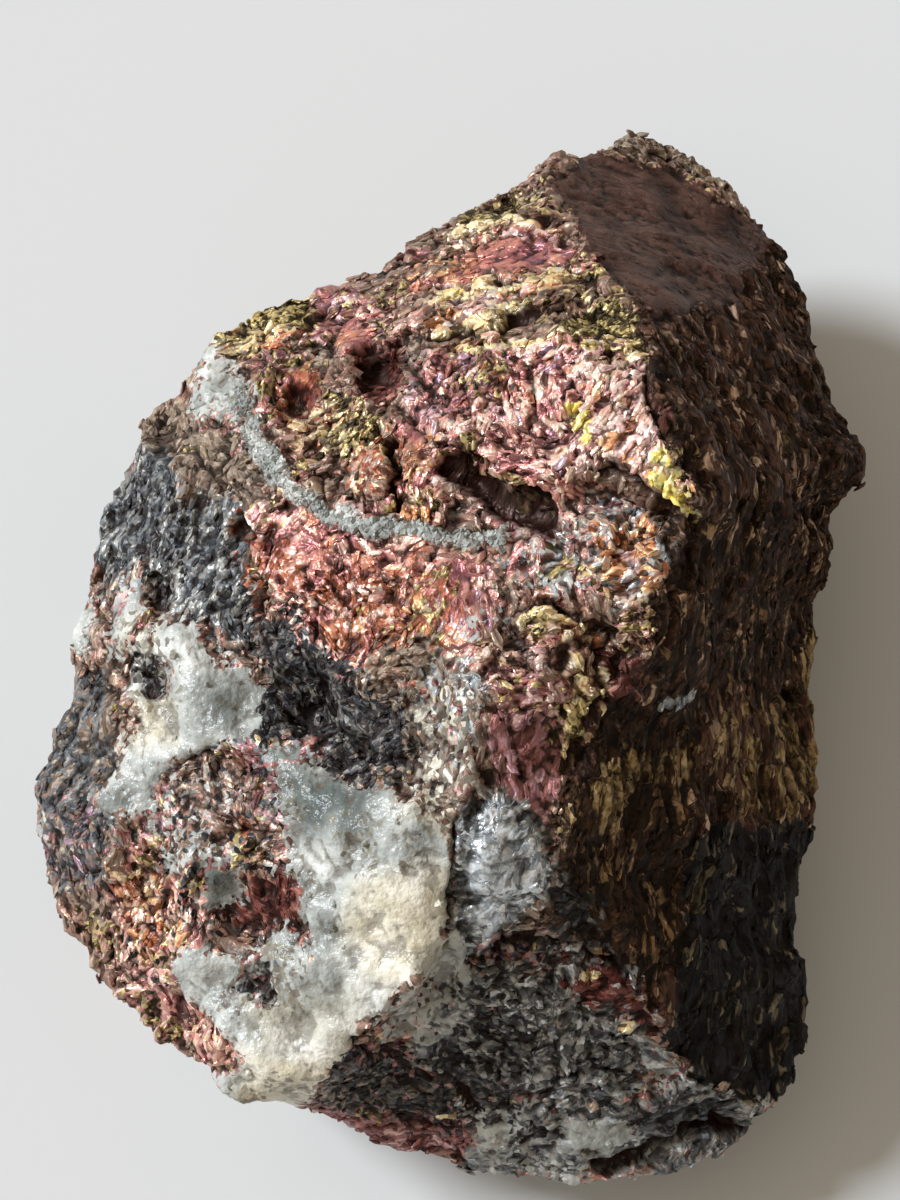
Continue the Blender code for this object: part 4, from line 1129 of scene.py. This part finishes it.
# Slits and pits in the quartz get painted shade.
quartz_colour = mix(mask("gap") * 0.95, quartz_colour, QUARTZ_GAP_SHADE)
quartz_bump = add_node(tree, "ShaderNodeBump", {},
                       {"Height": cloud(place, 2.6, 2.0), "Distance": QUARTZ_BUMP, "Strength": 0.5})
quartz_lean = vector_sum("SUBTRACT", crumb_colour, HALF)
quartz_normal = vector_sum("NORMALIZE", vector_sum("MULTIPLY_ADD", quartz_lean, QUARTZ_LEAN, quartz_bump))
quartz_shader = add_node(tree, "ShaderNodeBsdfPrincipled", {},
                         {"Base Color": quartz_colour, "Roughness": 0.32, "Normal": quartz_normal,
                          "Specular IOR Level": 0.4})
quartz_shown = shown_where("quartz", band[1] * 0.3 + crumb[0] * 0.7)
surface = add_node(tree, "ShaderNodeMixShader", {}, {0: quartz_shown, 1: ore_shader, 2: quartz_shader})
add_node(tree, "ShaderNodeOutputMaterial", {}, {"Surface": surface})
skin.materials.clear()
skin.materials.append(ore)

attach(stone, "root")
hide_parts("bornite_specimen")

# Flakes that lie on the broken faces: thin plates of bornite and sulphide, and splinters on the weathered side,
# grown with the stone and joined in one mesh. Each takes the mineral of the ground it lies on.
FLAKES = 4200
FLAKE_SEED = 11
UNEVENNESS = 0.13
chance_source = np.random.default_rng(FLAKE_SEED)


def prism(sides, shoulder, top_width):
    """Gives the corners and faces of a prism with its foot at -1: its sides lean in above the shoulder."""
    turns = np.arange(sides) * math.tau / sides
    ring = np.column_stack([np.cos(turns), np.sin(turns)])
    rings = [(1.0, -1.0), (1.0, shoulder), (top_width, 1.0)]
    corners = np.vstack([np.column_stack([ring * width, np.full(sides, height)]) for width, height in rings])
    faces = [tuple(reversed(range(sides))), tuple(range(2 * sides, 3 * sides))]
    for foot in (0, sides):
        for i in range(sides):
            j = (i + 1) % sides
            faces.append((foot + i, foot + j, foot + sides + j, foot + sides + i))
    return corners, faces


def unit(vectors):
    """Gives vectors of length 1 that point the same way."""
    return vectors / np.linalg.norm(vectors, axis=1)[:, None]


def spread(low, high, amount):
    """Gives random values between two limits."""
    return chance_source.uniform(low, high, amount)


def grow(name, seeds, shape, sizes, sunk, axes):
    """Joins one crystal at each seed, a vertex of the stone, in one object."""
    corners, faces = shape
    uneven = corners + chance_source.normal(0.0, UNEVENNESS, (len(seeds), *corners.shape)) * (1.0, 1.0, 0.5)
    local = uneven * sizes[:, None, :]
    placed = (points[seeds] - normals[seeds] * sunk)[:, None, :] + local @ np.stack(axes, axis=1)
    every_face = [tuple(i * len(corners) + corner for corner in face)
                  for i in range(len(seeds)) for face in faces]
    mesh = bpy.data.meshes.new(name)
    mesh.from_pydata((placed.reshape(-1, 3) * MM).tolist(), [], every_face)
    for value_name, values in carried.items():
        own = np.repeat(values[seeds][:, None, :], len(corners), axis=1)
        carry(mesh, value_name, own + local if value_name == "cleavage" else own)
    mesh.materials.append(ore)
    piece = bpy.data.objects.new(name, mesh)
    scene.collection.objects.link(piece)
    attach(piece, "root")


WAY_SPREAD = 0.3
LITTLE_QUARTZ = 0.3
toward_eye = np.clip(normals @ TO_EYE, 0.0, 1.0) * (points[:, 2] > ROUGH_ABOVE)
chance = toward_eye * (hackly * (1.0 - shares["gap"]) + 0.5 * umber)
chance = chance * (1.0 - sheet_share) * (quartz < LITTLE_QUARTZ)
seeds = chance_source.choice(count, FLAKES, replace=False, p=chance / chance.sum())
way = np.cos(turn[seeds])[:, None] * (1.0, 0.0, 0.0) + np.sin(turn[seeds])[:, None] * SIGHT_UP
outward = unit(normals[seeds] + chance_source.normal(0.0, UNEVENNESS, (FLAKES, 3)))
way = way + chance_source.normal(0.0, WAY_SPREAD, (FLAKES, 3))
way = unit(way - outward * (way * outward).sum(axis=1)[:, None])
half_length = 0.16 + 0.45 * spread(0.0, 1.0, FLAKES) ** 2
flake_sizes = np.column_stack([half_length, 0.05 + half_length * spread(0.2, 0.45, FLAKES),
                               spread(0.06, 0.11, FLAKES)])
grow("flakes", seeds, prism(5, 0.4, 0.75), flake_sizes, 0.0, (way, np.cross(outward, way), outward))

# Quartz crystals: six-sided prisms of clear quartz with blunt points, grown out of the thin vein and, here and
# there, out of the milky quartz. They are joined in one mesh, a little sunk into the stone.
CRYSTALS = 420
OFF_THE_VEIN = 0.003
AXIS_SPREAD = 0.5
SUNK = 0.05
chance = toward_eye * quartz * (1.0 - shares["gap"]) * (OFF_THE_VEIN + shares["vein"])
seeds = chance_source.choice(count, CRYSTALS, replace=False, p=chance / chance.sum())
long_axis = unit(normals[seeds] + chance_source.normal(0.0, AXIS_SPREAD, (CRYSTALS, 3)))
wide_axis = unit(np.cross(long_axis, chance_source.normal(0.0, 1.0, (CRYSTALS, 3))))
thickness = spread(0.12, 0.26, CRYSTALS)
crystal_sizes = np.column_stack([thickness, thickness, thickness * spread(1.1, 1.8, CRYSTALS)])
grow("quartz_crystals", seeds, prism(6, 0.3, 0.25), crystal_sizes, SUNK,
     (wide_axis, np.cross(long_axis, wide_axis), long_axis))
